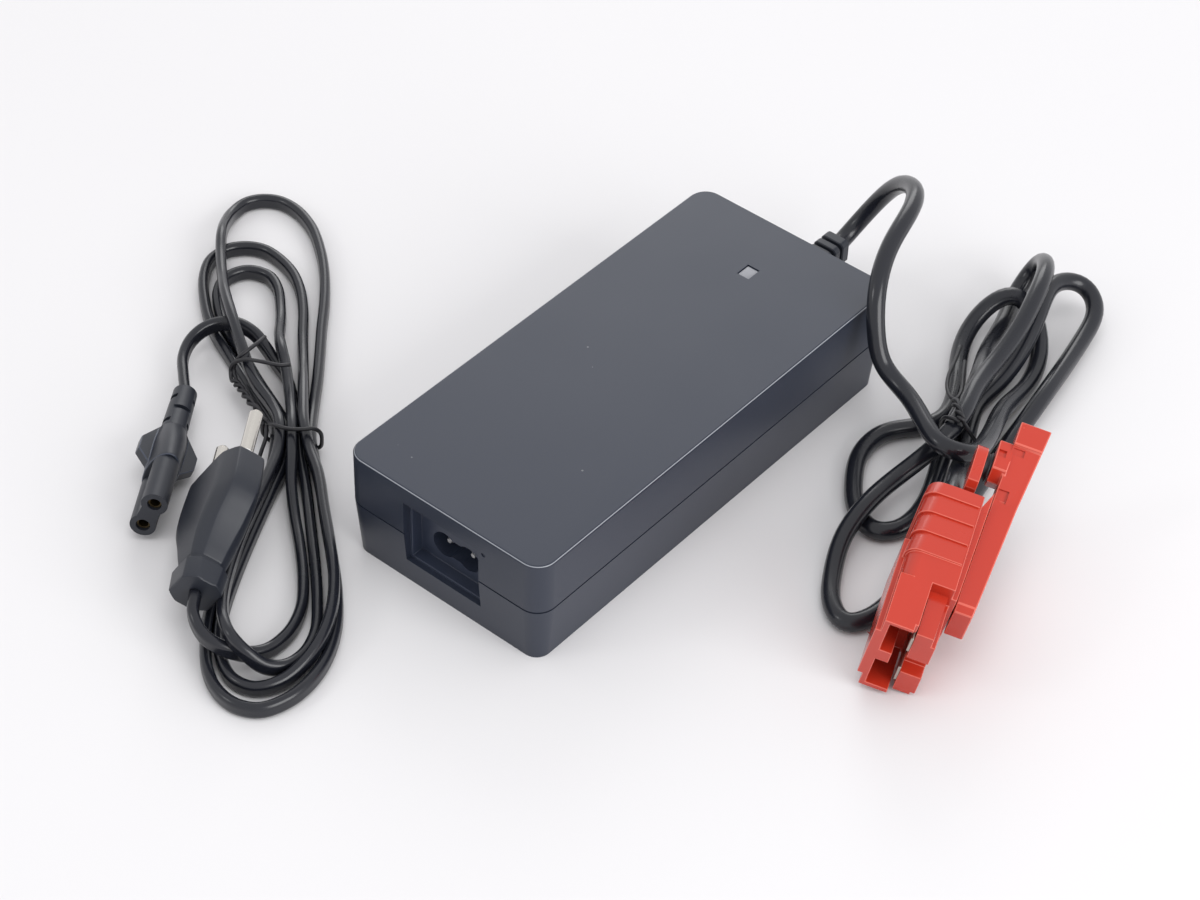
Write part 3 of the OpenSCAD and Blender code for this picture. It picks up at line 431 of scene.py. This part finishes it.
def has_room(edge, width):
    """True if no edge that meets this one's ends is too short for the rounding."""
    return all(e.calc_length() > 2 * width for v in edge.verts for e in v.link_edges)


def keep_flat(piece):
    """Flat faces stay flat beside the rounded edges."""
    weighted = piece.modifiers.new("flat faces stay flat", "WEIGHTED_NORMAL")
    weighted.mode = "FACE_AREA"
    weighted.weight = 100
    weighted.keep_sharp = True


def softened(node, name, material, width=0, body="charger", edge=None, reshape=None):
    """A copy of a CAD node with its sharp edges rounded, which stands for the node."""
    bm = bmesh.new()
    bm.from_mesh(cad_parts[node].data)
    bmesh.ops.remove_doubles(bm, verts=bm.verts, dist=MERGE_DISTANCE)
    bmesh.ops.dissolve_limit(bm, angle_limit=math.radians(FLAT_ANGLE), verts=bm.verts,
                             edges=bm.edges)
    if reshape is not None:
        reshape(bm)
    for face in bm.faces:
        face.material_index = 0
    if width > 0:
        sharp = [e for e in bm.edges if e.is_manifold and has_room(e, width)
                 and abs(e.calc_face_angle(0)) > math.radians(SHARP_ANGLE)]
        # The edge material, where given, goes on the rounded faces: a lighter colour that paints a
        # highlight along the edges
        bmesh.ops.bevel(bm, geom=sharp, offset=width, offset_type="OFFSET", segments=2,
                        profile=0.5, affect="EDGES", clamp_overlap=False,
                        material=-1 if edge is None else 1)
    for item in bm.edges:
        item.smooth = abs(item.calc_face_angle(0)) < math.radians(CRISP_ANGLE)
    mesh = finished_mesh(name, bm)
    piece = add_piece(name, mesh, material, (node,), body)
    if edge is not None:
        mesh.materials.append(edge)
    keep_flat(piece)
    return piece


def cut_corners(points, share):
    """The closed outline with each of its corners cut off by a share of its sides."""
    out = []
    for a, b in zip(points, points[1:] + points[:1]):
        out.append((a[0] + (b[0] - a[0]) * share, a[1] + (b[1] - a[1]) * share))
        out.append((b[0] + (a[0] - b[0]) * share, b[1] + (a[1] - b[1]) * share))
    return out


def eight_sided(half_x, half_y, flat_x, flat_y):
    """Outline with eight sides and softly rounded corners."""
    corners = [(half_x, -flat_y), (half_x, flat_y), (flat_x, half_y), (-flat_x, half_y),
               (-half_x, flat_y), (-half_x, -flat_y), (-flat_x, -half_y), (flat_x, -half_y)]
    for share in CORNER_CUTS:
        corners = cut_corners(corners, share)
    return corners


def lofted_mesh(name, pose, rings):
    """A closed skin through outlines at their heights along the pose's own axis."""
    bm = bmesh.new()
    loops = [[bm.verts.new(pose @ Vector((x, y, z))) for x, y in outline] for z, outline in rings]
    for a, b in zip(loops, loops[1:]):
        bridge(bm, a, b)
    bm.faces.new(list(reversed(loops[0])))
    bm.faces.new(loops[-1])
    bmesh.ops.recalc_face_normals(bm, faces=bm.faces)
    return finished_mesh(name, bm)


def lofted(node, name, material, pose, rings, angle=35):
    """A lofted piece that stands for a CAD node, with its steps kept crisp."""
    mesh = lofted_mesh(name, pose, rings)
    piece = add_piece(name, mesh, material, (node,))
    mesh.set_sharp_from_angle(angle=math.radians(angle))
    keep_flat(piece)
    return piece


def lower_window(bm):
    """The indicator window lies a little below the top of the case."""
    top = max(v.co.z for v in bm.verts)
    for vert in bm.verts:
        if vert.co.z > top - WINDOW_NEAR:
            vert.co.z -= WINDOW_DROP


def close_rail(bm):
    """The housing's side rail widens to follow the lever's slanted side."""
    pose = placed(*CONNECTOR_AT, upright=False)
    inverse = pose.inverted()
    for vert in bm.verts:
        spot = inverse @ vert.co
        if abs(spot.x - RAIL_X) < RAIL_NEAR and spot.y > RAIL_Y[0] - RAIL_FRONT_MARGIN:
            share = (spot.y - RAIL_Y[0]) / (RAIL_Y[1] - RAIL_Y[0])
            spot.x += RAIL_WIDER[0] + RAIL_WIDER[1] * min(1, share)
            if share > RAIL_REAR_SHARE:
                spot.y += RAIL_LONGER
            vert.co = pose @ spot


def slim_relief(bm):
    """The appliance connector's strain relief tapers towards the cord."""
    pose = placed(*APPLIANCE_AT)
    inverse = pose.inverted()
    for vert in bm.verts:
        spot = inverse @ vert.co
        if spot.z > RELIEF_START:
            keep = RELIEF_KEEP[0] - RELIEF_KEEP[1] * (spot.z - RELIEF_START) / RELIEF_LENGTH
            spot.x *= keep
            spot.y *= keep
            vert.co = pose @ spot


def gland_rings():
    """Outlines of the gland: a flange inside the wall, its neck, then six ribs with grooves."""
    core = eight_sided(2.9, 2.9, 1.7, 1.7)
    neck = eight_sided(3.95, 3.95, 3, 3)
    flange = eight_sided(6, 6, 4, 4)
    rib = eight_sided(4.2, 4.2, 3.1, 3.1)
    edge = eight_sided(3.9, 3.9, 2.9, 2.9)
    rings = [(-5.1, flange), (-2.6, flange), (-2.6, neck), (0.05, neck), (0.05, core)]
    starts = [GLAND_RIB_START + GLAND_RIB_PITCH * i for i in range(5)]
    ribs = [(start, start + GLAND_RIB_WIDTH) for start in starts] + [GLAND_LAST_RIB]
    for low, high in ribs:
        rings += [(low, core), (low, edge), (low + GLAND_RIB_SLOPE, rib),
                  (high - GLAND_RIB_SLOPE, rib), (high, edge), (high, core)]
    return rings[:-1]


def plug_rings():
    """Outlines of the mains plug from its collar to the face that carries the pins."""
    return [(z, eight_sided(half_t, half_w, edge, half_w * PLUG_FLAT_SHARE))
            for z, half_w, half_t, edge in PLUG_SIZES]


# Shader groups that several materials share


def add_node(tree, kind, values=None, **settings):
    """A new node with the given settings and the given values on its sockets."""
    node = tree.nodes.new(kind)
    for key, value in settings.items():
        setattr(node, key, value)
    for socket, value in (values or {}).items():
        node.inputs[socket].default_value = value
    return node


def calculate(tree, operation, first, second):
    """Output of a Math node; each side is an output of another node or a number."""
    node = add_node(tree, "ShaderNodeMath", operation=operation)
    for socket, value in zip(node.inputs, (first, second)):
        if isinstance(value, bpy.types.NodeSocket):
            tree.links.new(value, socket)
        else:
            socket.default_value = value
    return node.outputs["Value"]


def mixed(tree, factor, first, second):
    """Output of a colour mix; the first colour is an output of another node or a colour."""
    node = add_node(tree, "ShaderNodeMix", data_type="RGBA")
    tree.links.new(factor, node.inputs["Factor"])
    if isinstance(first, bpy.types.NodeSocket):
        tree.links.new(first, node.inputs["A"])
    else:
        node.inputs["A"].default_value = first
    node.inputs["B"].default_value = second
    return node.outputs["Result"]


def object_place(tree):
    """Output with the place on the piece, in metres."""
    return add_node(tree, "ShaderNodeTexCoord").outputs["Object"]


def height_of(tree, vector):
    """Output with the third number of a vector."""
    split = add_node(tree, "ShaderNodeSeparateXYZ")
    tree.links.new(vector, split.inputs["Vector"])
    return split.outputs["Z"]


def new_group(name, inputs, outputs):
    """A shader node group with float inputs and the named outputs."""
    group = bpy.data.node_groups.new(name, "ShaderNodeTree")
    for label, value in inputs:
        socket = group.interface.new_socket(label, in_out="INPUT", socket_type="NodeSocketFloat")
        socket.default_value = value
    for label in outputs:
        group.interface.new_socket(label, in_out="OUTPUT", socket_type="NodeSocketFloat")
    source = group.nodes.new("NodeGroupInput")
    sink = group.nodes.new("NodeGroupOutput")
    return group, source, sink


def moulded_grain_group():
    """Fine spark texture of a moulded surface, with slow changes of gloss."""
    name = "Moulded grain"
    if name in bpy.data.node_groups:
        return bpy.data.node_groups[name]
    inputs = [("Grain scale", 3000.0), ("Gloss low", 0.4), ("Gloss high", 0.55)]
    group, source, sink = new_group(name, inputs, ["Height", "Roughness"])
    links = group.links
    place = object_place(group)
    fine = add_node(group, "ShaderNodeTexNoise", {"Detail": 3, "Roughness": 0.6})
    slow = add_node(group, "ShaderNodeTexNoise", {"Scale": 35, "Detail": 4})
    spread = add_node(group, "ShaderNodeMapRange", {"From Min": 0.3, "From Max": 0.7})
    links.new(place, fine.inputs["Vector"])
    links.new(place, slow.inputs["Vector"])
    links.new(source.outputs["Grain scale"], fine.inputs["Scale"])
    links.new(source.outputs["Gloss low"], spread.inputs["To Min"])
    links.new(source.outputs["Gloss high"], spread.inputs["To Max"])
    links.new(slow.outputs["Fac"], spread.inputs["Value"])
    links.new(fine.outputs["Fac"], sink.inputs["Height"])
    links.new(spread.outputs["Result"], sink.inputs["Roughness"])
    return group


def dust_group():
    """Mask of a few tiny specks of dust that lie on the upper faces."""
    name = "Dust specks"
    if name in bpy.data.node_groups:
        return bpy.data.node_groups[name]
    inputs = [("Scale", 160.0), ("Size", 0.05), ("Rarity", 0.86)]
    group, source, sink = new_group(name, inputs, ["Mask"])
    links = group.links
    cells = add_node(group, "ShaderNodeTexVoronoi")
    links.new(object_place(group), cells.inputs["Vector"])
    links.new(source.outputs["Scale"], cells.inputs["Scale"])
    near = calculate(group, "LESS_THAN", cells.outputs["Distance"], source.outputs["Size"])
    pick = add_node(group, "ShaderNodeSeparateColor")
    links.new(cells.outputs["Color"], pick.inputs["Color"])
    rare = calculate(group, "GREATER_THAN", pick.outputs["Red"], source.outputs["Rarity"])
    normal = add_node(group, "ShaderNodeNewGeometry").outputs["Normal"]
    upward = add_node(group, "ShaderNodeMapRange", {"From Min": 0.5, "From Max": 0.9})
    links.new(height_of(group, normal), upward.inputs["Value"])
    speck = calculate(group, "MULTIPLY", near, rare)
    links.new(calculate(group, "MULTIPLY", speck, upward.outputs["Result"]), sink.inputs["Mask"])
    return group


def painted_edge_highlight_group():
    """Mask of the narrow line where a rounded edge turns from the top to a side, where a highlight
    is painted into the colour.
    """
    name = "Edge shine"
    if name in bpy.data.node_groups:
        return bpy.data.node_groups[name]
    inputs = [("Turned from", 0.5), ("Turned to", 0.85), ("Lowest", 0.03)]
    group, source, sink = new_group(name, inputs, ["Mask"])
    normal = add_node(group, "ShaderNodeNewGeometry").outputs["Normal"]
    slope = height_of(group, normal)
    height = height_of(group, object_place(group))
    turned = calculate(group, "GREATER_THAN", slope, source.outputs["Turned from"])
    short = calculate(group, "LESS_THAN", slope, source.outputs["Turned to"])
    high = calculate(group, "GREATER_THAN", height, source.outputs["Lowest"])
    band = calculate(group, "MULTIPLY", turned, short)
    group.links.new(calculate(group, "MULTIPLY", band, high), sink.inputs["Mask"])
    return group


# Materials


def new_material(name):
    """A material with nodes, and its shader."""
    material = bpy.data.materials.new(name)
    material.use_nodes = True
    return material, material.node_tree.nodes["Principled BSDF"]


def add_skin(material, shader, gloss, grain, strength, depth):
    """Gives the material its grain in gloss and relief."""
    tree = material.node_tree
    skin = add_node(tree, "ShaderNodeGroup",
                    {"Grain scale": grain, "Gloss low": gloss[0], "Gloss high": gloss[1]},
                    node_tree=moulded_grain_group())
    relief = add_node(tree, "ShaderNodeBump", {"Strength": strength, "Distance": depth})
    tree.links.new(skin.outputs["Height"], relief.inputs["Height"])
    tree.links.new(relief.outputs["Normal"], shader.inputs["Normal"])
    tree.links.new(skin.outputs["Roughness"], shader.inputs["Roughness"])


def tint(color, factor):
    """The colour made lighter or darker."""
    return tuple(min(1.0, max(0.0, c * factor)) for c in color[:3]) + (1.0,)


def moulded_material(name, color, gloss, grain=3000.0, bump=0.03, coat=0.0, dust=0.0,
                     variation=0.12, painted_highlight=0.0):
    """Moulded plastic: fine grain, slow changes of gloss and tone, a little dust, and where asked
    a painted highlight along rounded top edges.
    """
    if name in bpy.data.materials:
        return bpy.data.materials[name]
    material, shader = new_material(name)
    tree = material.node_tree
    shader.inputs["Coat Weight"].default_value = coat
    shader.inputs["Coat Roughness"].default_value = 0.08
    add_skin(material, shader, gloss, grain, bump, MOULDED_DEPTH)
    cloud = add_node(tree, "ShaderNodeTexNoise", {"Scale": 60, "Detail": 3})
    tree.links.new(object_place(tree), cloud.inputs["Vector"])
    look = mixed(tree, cloud.outputs["Fac"], tint(color, 1 - variation),
                 tint(color, 1 + variation))
    # The first mask paints a highlight on the rounded top edges; the second lays dust
    for share, group, tone in ((painted_highlight, painted_edge_highlight_group, PAINTED_HIGHLIGHT_TONE),
                               (dust, dust_group, DUST_TONE)):
        if share > 0:
            mask = add_node(tree, "ShaderNodeGroup", node_tree=group()).outputs["Mask"]
            look = mixed(tree, calculate(tree, "MULTIPLY", mask, share), look, tone)
    tree.links.new(look, shader.inputs["Base Color"])
    return material


def metal_material(name, color, gloss):
    """Plated or drawn metal with a fine grain in its gloss."""
    if name in bpy.data.materials:
        return bpy.data.materials[name]
    material, shader = new_material(name)
    shader.inputs["Metallic"].default_value = 1
    shader.inputs["Base Color"].default_value = tint(color, 1)
    add_skin(material, shader, gloss, *METAL_GRAIN)
    return material


# User settings


class ChargerFinish(bpy.types.PropertyGroup):
    """Colours and sizes that a user would change"""

    case_color: FloatVectorProperty(
        name="Case colour", description="Colour of both covers of the case",
        subtype="COLOR", size=3, min=0, max=1, default=(0.0208, 0.0262, 0.0425))
    red_color: FloatVectorProperty(
        name="Connector colour", description="Colour of the battery connector and its lever",
        subtype="COLOR", size=3, min=0, max=1, default=(0.46, 0.031, 0.014))
    black_color: FloatVectorProperty(
        name="Moulding colour", description="Colour of the dark connectors and the gland",
        subtype="COLOR", size=3, min=0, max=1, default=(0.0145, 0.0172, 0.025))
    cord_color: FloatVectorProperty(
        name="Cord colour", description="Colour of both cords",
        subtype="COLOR", size=3, min=0, max=1, default=(0.0088, 0.0098, 0.0145))
    output_diameter: FloatProperty(
        name="Output cord", description="Diameter of the round output cord",
        unit="LENGTH", subtype="DISTANCE", min=0.004, max=0.006, default=0.0054)
    mains_width: FloatProperty(
        name="Mains cord width", description="Width of the flat mains cord",
        unit="LENGTH", subtype="DISTANCE", min=0.0045, max=0.0056, default=0.005)
    mains_thickness: FloatProperty(
        name="Mains cord thickness", description="Thickness of the flat mains cord",
        unit="LENGTH", subtype="DISTANCE", min=0.0028, max=0.0036, default=0.0032)
    tie_diameter: FloatProperty(
        name="Tie wire", description="Diameter of the coated wire of both ties",
        unit="LENGTH", subtype="DISTANCE", min=0.0008, max=0.0014, default=0.0012)


def finish():
    """The settings in use."""
    return bpy.context.scene.charger_finish


def case_plastic():
    """Both covers of the case, with dust and a painted highlight along the top edge."""
    return moulded_material("Cover plastic", finish().case_color, gloss=(0.36, 0.4), grain=2600.0,
                            bump=0.05, dust=0.2, variation=0.02, painted_highlight=0.5)


def inlet_plastic_painted_lighter():
    """The mains inlet, painted lighter than the case to make up for the shade in its recess."""
    return moulded_material("Inlet plastic", tint(finish().case_color, 1.5), gloss=(0.3, 0.38),
                            grain=2600.0, bump=0.03, variation=0.03)


def red_plastic():
    """The battery connector and its lever."""
    return moulded_material("Red plastic", finish().red_color, gloss=(0.2, 0.3), grain=900.0,
                            bump=0.01, coat=0.2, variation=0.04)


def red_painted_edge():
    """Rounded edges of the red mouldings, painted lighter as a highlight."""
    return moulded_material("Red edge", (0.62, 0.11, 0.075), gloss=(0.14, 0.22), grain=900.0,
                            bump=0.01, coat=0.4, variation=0.06)


def black_painted_edge():
    """Rounded edges of the appliance connector, painted lighter as a highlight."""
    return moulded_material("Black edge", tint(finish().black_color, 3.2), gloss=(0.25, 0.35),
                            grain=2600.0, bump=0.03, variation=0.08)


def black_plastic():
    """The gland, the mains plug and the appliance connector."""
    return moulded_material("Black plastic", finish().black_color, gloss=(0.38, 0.5),
                            grain=2600.0, bump=0.05, variation=0.06)


def cord_jacket():
    """The smooth jackets of the cords."""
    return moulded_material("Cord jacket", finish().cord_color, gloss=(0.22, 0.3), grain=700.0,
                            bump=0.03, coat=0.1, variation=0.08)


def tie_jacket():
    """The coating of the wire ties, and the lever's spring washers."""
    return moulded_material("Tie jacket", (0.012, 0.012, 0.015), gloss=(0.35, 0.5),
                            grain=1200.0, bump=0.04, variation=0.1)


def window_plastic():
    """The clear window over the status light."""
    return moulded_material("Window plastic", (0.18, 0.186, 0.21), gloss=(0.15, 0.25), coat=0.3,
                            variation=0.15)


def sleeve_plastic():
    """The white sleeves of the mains pins."""
    return moulded_material("Sleeve plastic", (0.78, 0.78, 0.76), gloss=(0.25, 0.4))


def plated_metal():
    """The bright pins of the inlet."""
    return metal_material("Plated metal", (0.93, 0.92, 0.9), (0.24, 0.36))


def nickel_metal():
    """The pins of the mains plug."""
    return metal_material("Nickel plate", (0.7, 0.67, 0.62), (0.12, 0.22))


def tinned_metal():
    """The blades of the battery connector."""
    return metal_material("Tinned metal", (0.42, 0.38, 0.34), (0.3, 0.42))


def dark_steel():
    """The pivot pin of the lever."""
    return metal_material("Dark steel", (0.16, 0.16, 0.17), (0.3, 0.45))


# Operators


class DressOperator:
    """What all the operators share"""

    bl_options = {"REGISTER", "UNDO"}


class OBJECT_OT_charger_camera(DressOperator, bpy.types.Operator):
    """Adds the camera at the photograph's viewing angle"""

    bl_idname = "object.charger_camera"
    bl_label = "Camera"

    def execute(self, context):
        turn, tilt, roll = (math.radians(a) for a in CAMERA_ANGLES)
        data = bpy.data.cameras.new("Camera")
        data.sensor_width = 36
        data.lens = FOCAL_PX / FRAME_PX * data.sensor_width
        data.clip_end = 20
        camera = bpy.data.objects.new("Camera", data)
        context.scene.collection.objects.link(camera)
        forward = Vector((-math.sin(turn) * math.cos(tilt), math.cos(turn) * math.cos(tilt),
                          -math.sin(tilt)))
        right = forward.cross(Vector((0, 0, 1))).normalized()
        up = right.cross(forward)
        spin = Matrix.Rotation(roll, 3, forward)
        right, up = spin @ right, spin @ up
        pose = Matrix((right, up, -forward)).transposed().to_4x4()
        pose.translation = Vector(CAMERA_PLACE) * MM
        camera.matrix_world = pose
        context.scene.camera = camera
        return {"FINISHED"}


class OBJECT_OT_charger_stage(DressOperator, bpy.types.Operator):
    """Adds the pale floor and the soft studio light"""

    bl_idname = "object.charger_stage"
    bl_label = "Floor and light"

    def execute(self, context):
        mesh = bpy.data.meshes.new("Floor")
        half = FLOOR_HALF
        corners = [(-half, -half, 0), (half, -half, 0), (half, half, 0), (-half, half, 0)]
        mesh.from_pydata(corners, [], [(0, 1, 2, 3)])
        floor = bpy.data.objects.new("Floor", mesh)
        context.scene.collection.objects.link(floor)
        material, shader = new_material("Floor paper")
        tree = material.node_tree
        shader.inputs["Specular IOR Level"].default_value = 0.2
        shader.inputs["Roughness"].default_value = 0.75
        grain = add_node(tree, "ShaderNodeTexNoise", {"Scale": 30})
        tone = mixed(tree, grain.outputs["Fac"], *FLOOR_TONES)
        tree.links.new(tone, shader.inputs["Base Color"])
        mesh.materials.append(material)
        world = bpy.data.worlds.new("Studio")
        context.scene.world = world
        world.use_nodes = True
        sky = world.node_tree.nodes["Background"]
        sky.inputs["Color"].default_value = SKY_COLOR
        sky.inputs["Strength"].default_value = SKY_STRENGTH
        for name, place, size, power, mirrored in LAMPS:
            data = bpy.data.lights.new(name, "AREA")
            data.size = size
            data.energy = power
            lamp = bpy.data.objects.new(name, data)
            context.scene.collection.objects.link(lamp)
            lamp.visible_glossy = mirrored
            lamp.location = place
            aim = (-Vector(place)).to_track_quat("-Z", "Y")
            lamp.rotation_euler = aim.to_euler()
        context.scene.view_settings.view_transform = "Standard"
        return {"FINISHED"}


class OBJECT_OT_charger_output_cord(DressOperator, bpy.types.Operator):
    """Lays the output cord in its tied bundle, with its gland and the battery connector"""

    bl_idname = "object.charger_output_cord"
    bl_label = "Output cord and connector"

    def execute(self, context):
        settings = finish()
        radius = settings.output_diameter / 2
        line = fair_line([Vector(p) * MM for p in OUTPUT_ROUTE], curve_steps())
        line = above_floor(line, radius)
        mesh = swept_mesh("output_cord_jacket", [line], round_section(radius, CORD_SIDES))
        cord = add_piece("output_cord_jacket", mesh, cord_jacket(),
                         ("output_cord",))
        gland_pose = Matrix.Translation(Vector(GLAND_AT) * MM)
        gland_pose = gland_pose @ Matrix.Rotation(math.radians(-90), 4, "X") @ Matrix.Scale(MM, 4)
        on_cord = [
            wire_tie("output_tie_wire", "output_cord_tie", OUTPUT_TIE),
            lofted("cord_gland", "gland_moulding", black_plastic(), gland_pose,
                   gland_rings()),
            softened("plug_housing", "connector_moulding", red_plastic(),
                     FINE_EDGE, edge=red_painted_edge(), reshape=close_rail),
            softened("latch_lever", "lever_moulding", red_plastic(),
                     LEVER_EDGE, body="latch", edge=red_painted_edge()),
            softened("plug_contacts", "contact_blades", tinned_metal(),
                     FINE_EDGE),
            softened("latch_pin", "latch_pin_turned", dark_steel(), SOFT_EDGE),
            softened("latch_spring", "spring_washers", tie_jacket(), FINE_EDGE),
        ]
        return {"FINISHED"}


class OBJECT_OT_charger_mains_cord(DressOperator, bpy.types.Operator):
    """Lays the flat mains cord in its tied hank, with the connector and the plug on its ends"""

    bl_idname = "object.charger_mains_cord"
    bl_label = "Mains cord and its ends"

    def execute(self, context):
        settings = finish()
        line = smooth_line([from_hank(p) for p in MAINS_ROUTE], curve_steps())
        line = above_floor(line, settings.mains_width / 2)
        section = flat_section(settings.mains_width, settings.mains_thickness)
        mesh = swept_mesh("mains_cord_jacket", [line], section, level=True)
        cord = add_piece("mains_cord_jacket", mesh, cord_jacket(),
                         ("mains_cord_upper", "mains_cord_lower",
                          "mains_hank_upper", "mains_hank_lower"))
        on_cord = [
            wire_tie("mains_tie_wire", "mains_cord_tie", MAINS_TIE),
            softened("mains_connector_body", "appliance_connector_moulding",
                     black_plastic(), SOFT_EDGE, reshape=slim_relief, edge=black_painted_edge()),
            softened("mains_connector_nose", "appliance_nose_moulding",
                     black_plastic(), FINE_EDGE, edge=black_painted_edge()),
            lofted("mains_plug_body", "mains_plug_moulding",
                   black_plastic(), placed(*MAINS_PLUG_AT), plug_rings(), angle=50),
            softened("mains_plug_pins", "plug_pins_turned", nickel_metal(),
                     SOFT_EDGE),
            softened("mains_plug_sleeves", "plug_sleeves_moulding",
                     sleeve_plastic(), FINE_EDGE),
            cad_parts["mains_connector_contacts"],
        ]
        return {"FINISHED"}


class OBJECT_OT_charger_case(DressOperator, bpy.types.Operator):
    """Gives the covers, the inlet and the window their finish, and softens the small edges"""

    bl_idname = "object.charger_case"
    bl_label = "Case"

    def execute(self, context):
        softened("top_cover", "top_cover_moulding", case_plastic())
        softened("bottom_cover", "bottom_cover_moulding", case_plastic())
        softened("inlet_housing", "inlet_moulding", inlet_plastic_painted_lighter(), FINE_EDGE)
        softened("inlet_pins", "inlet_pins_turned", plated_metal(), FINE_EDGE)
        softened("indicator_window", "window_lens", window_plastic(), FINE_EDGE,
                 reshape=lower_window)
        return {"FINISHED"}


class OBJECT_OT_charger_small_parts(DressOperator, bpy.types.Operator):
    """Gives every piece that keeps its solid its material"""

    bl_idname = "object.charger_small_parts"
    bl_label = "Small parts"

    def execute(self, context):
        brass = metal_material("Dull brass", (0.1, 0.075, 0.04), (0.45, 0.6))
        aluminium = metal_material("Extruded aluminium", (0.72, 0.73, 0.74), (0.35, 0.5))
        board = moulded_material("Board laminate", (0.02, 0.12, 0.045), (0.3, 0.45))
        glass = moulded_material("Fuse glass", (0.7, 0.72, 0.72), (0.08, 0.15), coat=0.5)
        tape = moulded_material("Winding tape", (0.52, 0.42, 0.08), (0.25, 0.4), grain=900.0)
        box = moulded_material("Capacitor can", (0.55, 0.36, 0.06), (0.2, 0.35))
        shrink = moulded_material("Capacitor sleeve", (0.02, 0.03, 0.09), (0.15, 0.3))
        package = moulded_material("Package plastic", (0.015, 0.015, 0.016), (0.5, 0.65))
        ferrite = moulded_material("Ferrite", (0.035, 0.035, 0.038), (0.55, 0.75), grain=1500.0,
                                   bump=0.2)
        finishes = {
            "status_led": window_plastic(),
            "circuit_board": board, "fuse": glass, "input_choke": tape, "x_capacitor": box,
            "bridge_rectifier": package, "bulk_capacitor": shrink, "transformer_core": ferrite,
            "transformer_winding": tape, "primary_heat_sink": aluminium,
            "power_transistor": package, "secondary_heat_sink": aluminium,
            "output_diode": package, "output_capacitors": shrink, "output_leads": cord_jacket(),
            "mains_connector_contacts": brass,
        }
        for node, material in finishes.items():
            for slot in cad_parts[node].material_slots:
                slot.material = material
        return {"FINISHED"}


class VIEW3D_PT_charger(bpy.types.Panel):
    """Lists the steps that dress the charger"""

    bl_idname = "VIEW3D_PT_charger"
    bl_label = "Charger"
    bl_space_type = "VIEW_3D"
    bl_region_type = "UI"
    bl_category = "Charger"

    def draw(self, context):
        layout = self.layout
        settings = context.scene.charger_finish
        for name in ("case_color", "red_color", "black_color", "cord_color", "output_diameter",
                     "mains_width", "mains_thickness", "tie_diameter"):
            layout.prop(settings, name)
        for step in STEPS:
            layout.operator(step.bl_idname)


STEPS = (
    OBJECT_OT_charger_camera,
    OBJECT_OT_charger_output_cord,
    OBJECT_OT_charger_mains_cord,
    OBJECT_OT_charger_stage,
    OBJECT_OT_charger_case,
    OBJECT_OT_charger_small_parts,
)
CLASSES = (ChargerFinish, VIEW3D_PT_charger) + STEPS


def register():
    """Adds the classes and the settings to Blender."""
    for item in CLASSES:
        bpy.utils.register_class(item)
    bpy.types.Scene.charger_finish = PointerProperty(type=ChargerFinish)


def unregister():
    """Takes the settings and the classes out again."""
    del bpy.types.Scene.charger_finish
    for item in reversed(CLASSES):
        bpy.utils.unregister_class(item)


def main():
    """Runs every step in order."""
    register()
    for step in STEPS:
        family, action = step.bl_idname.split(".")
        getattr(getattr(bpy.ops, family), action)()


if __name__ == "__main__":
    main()
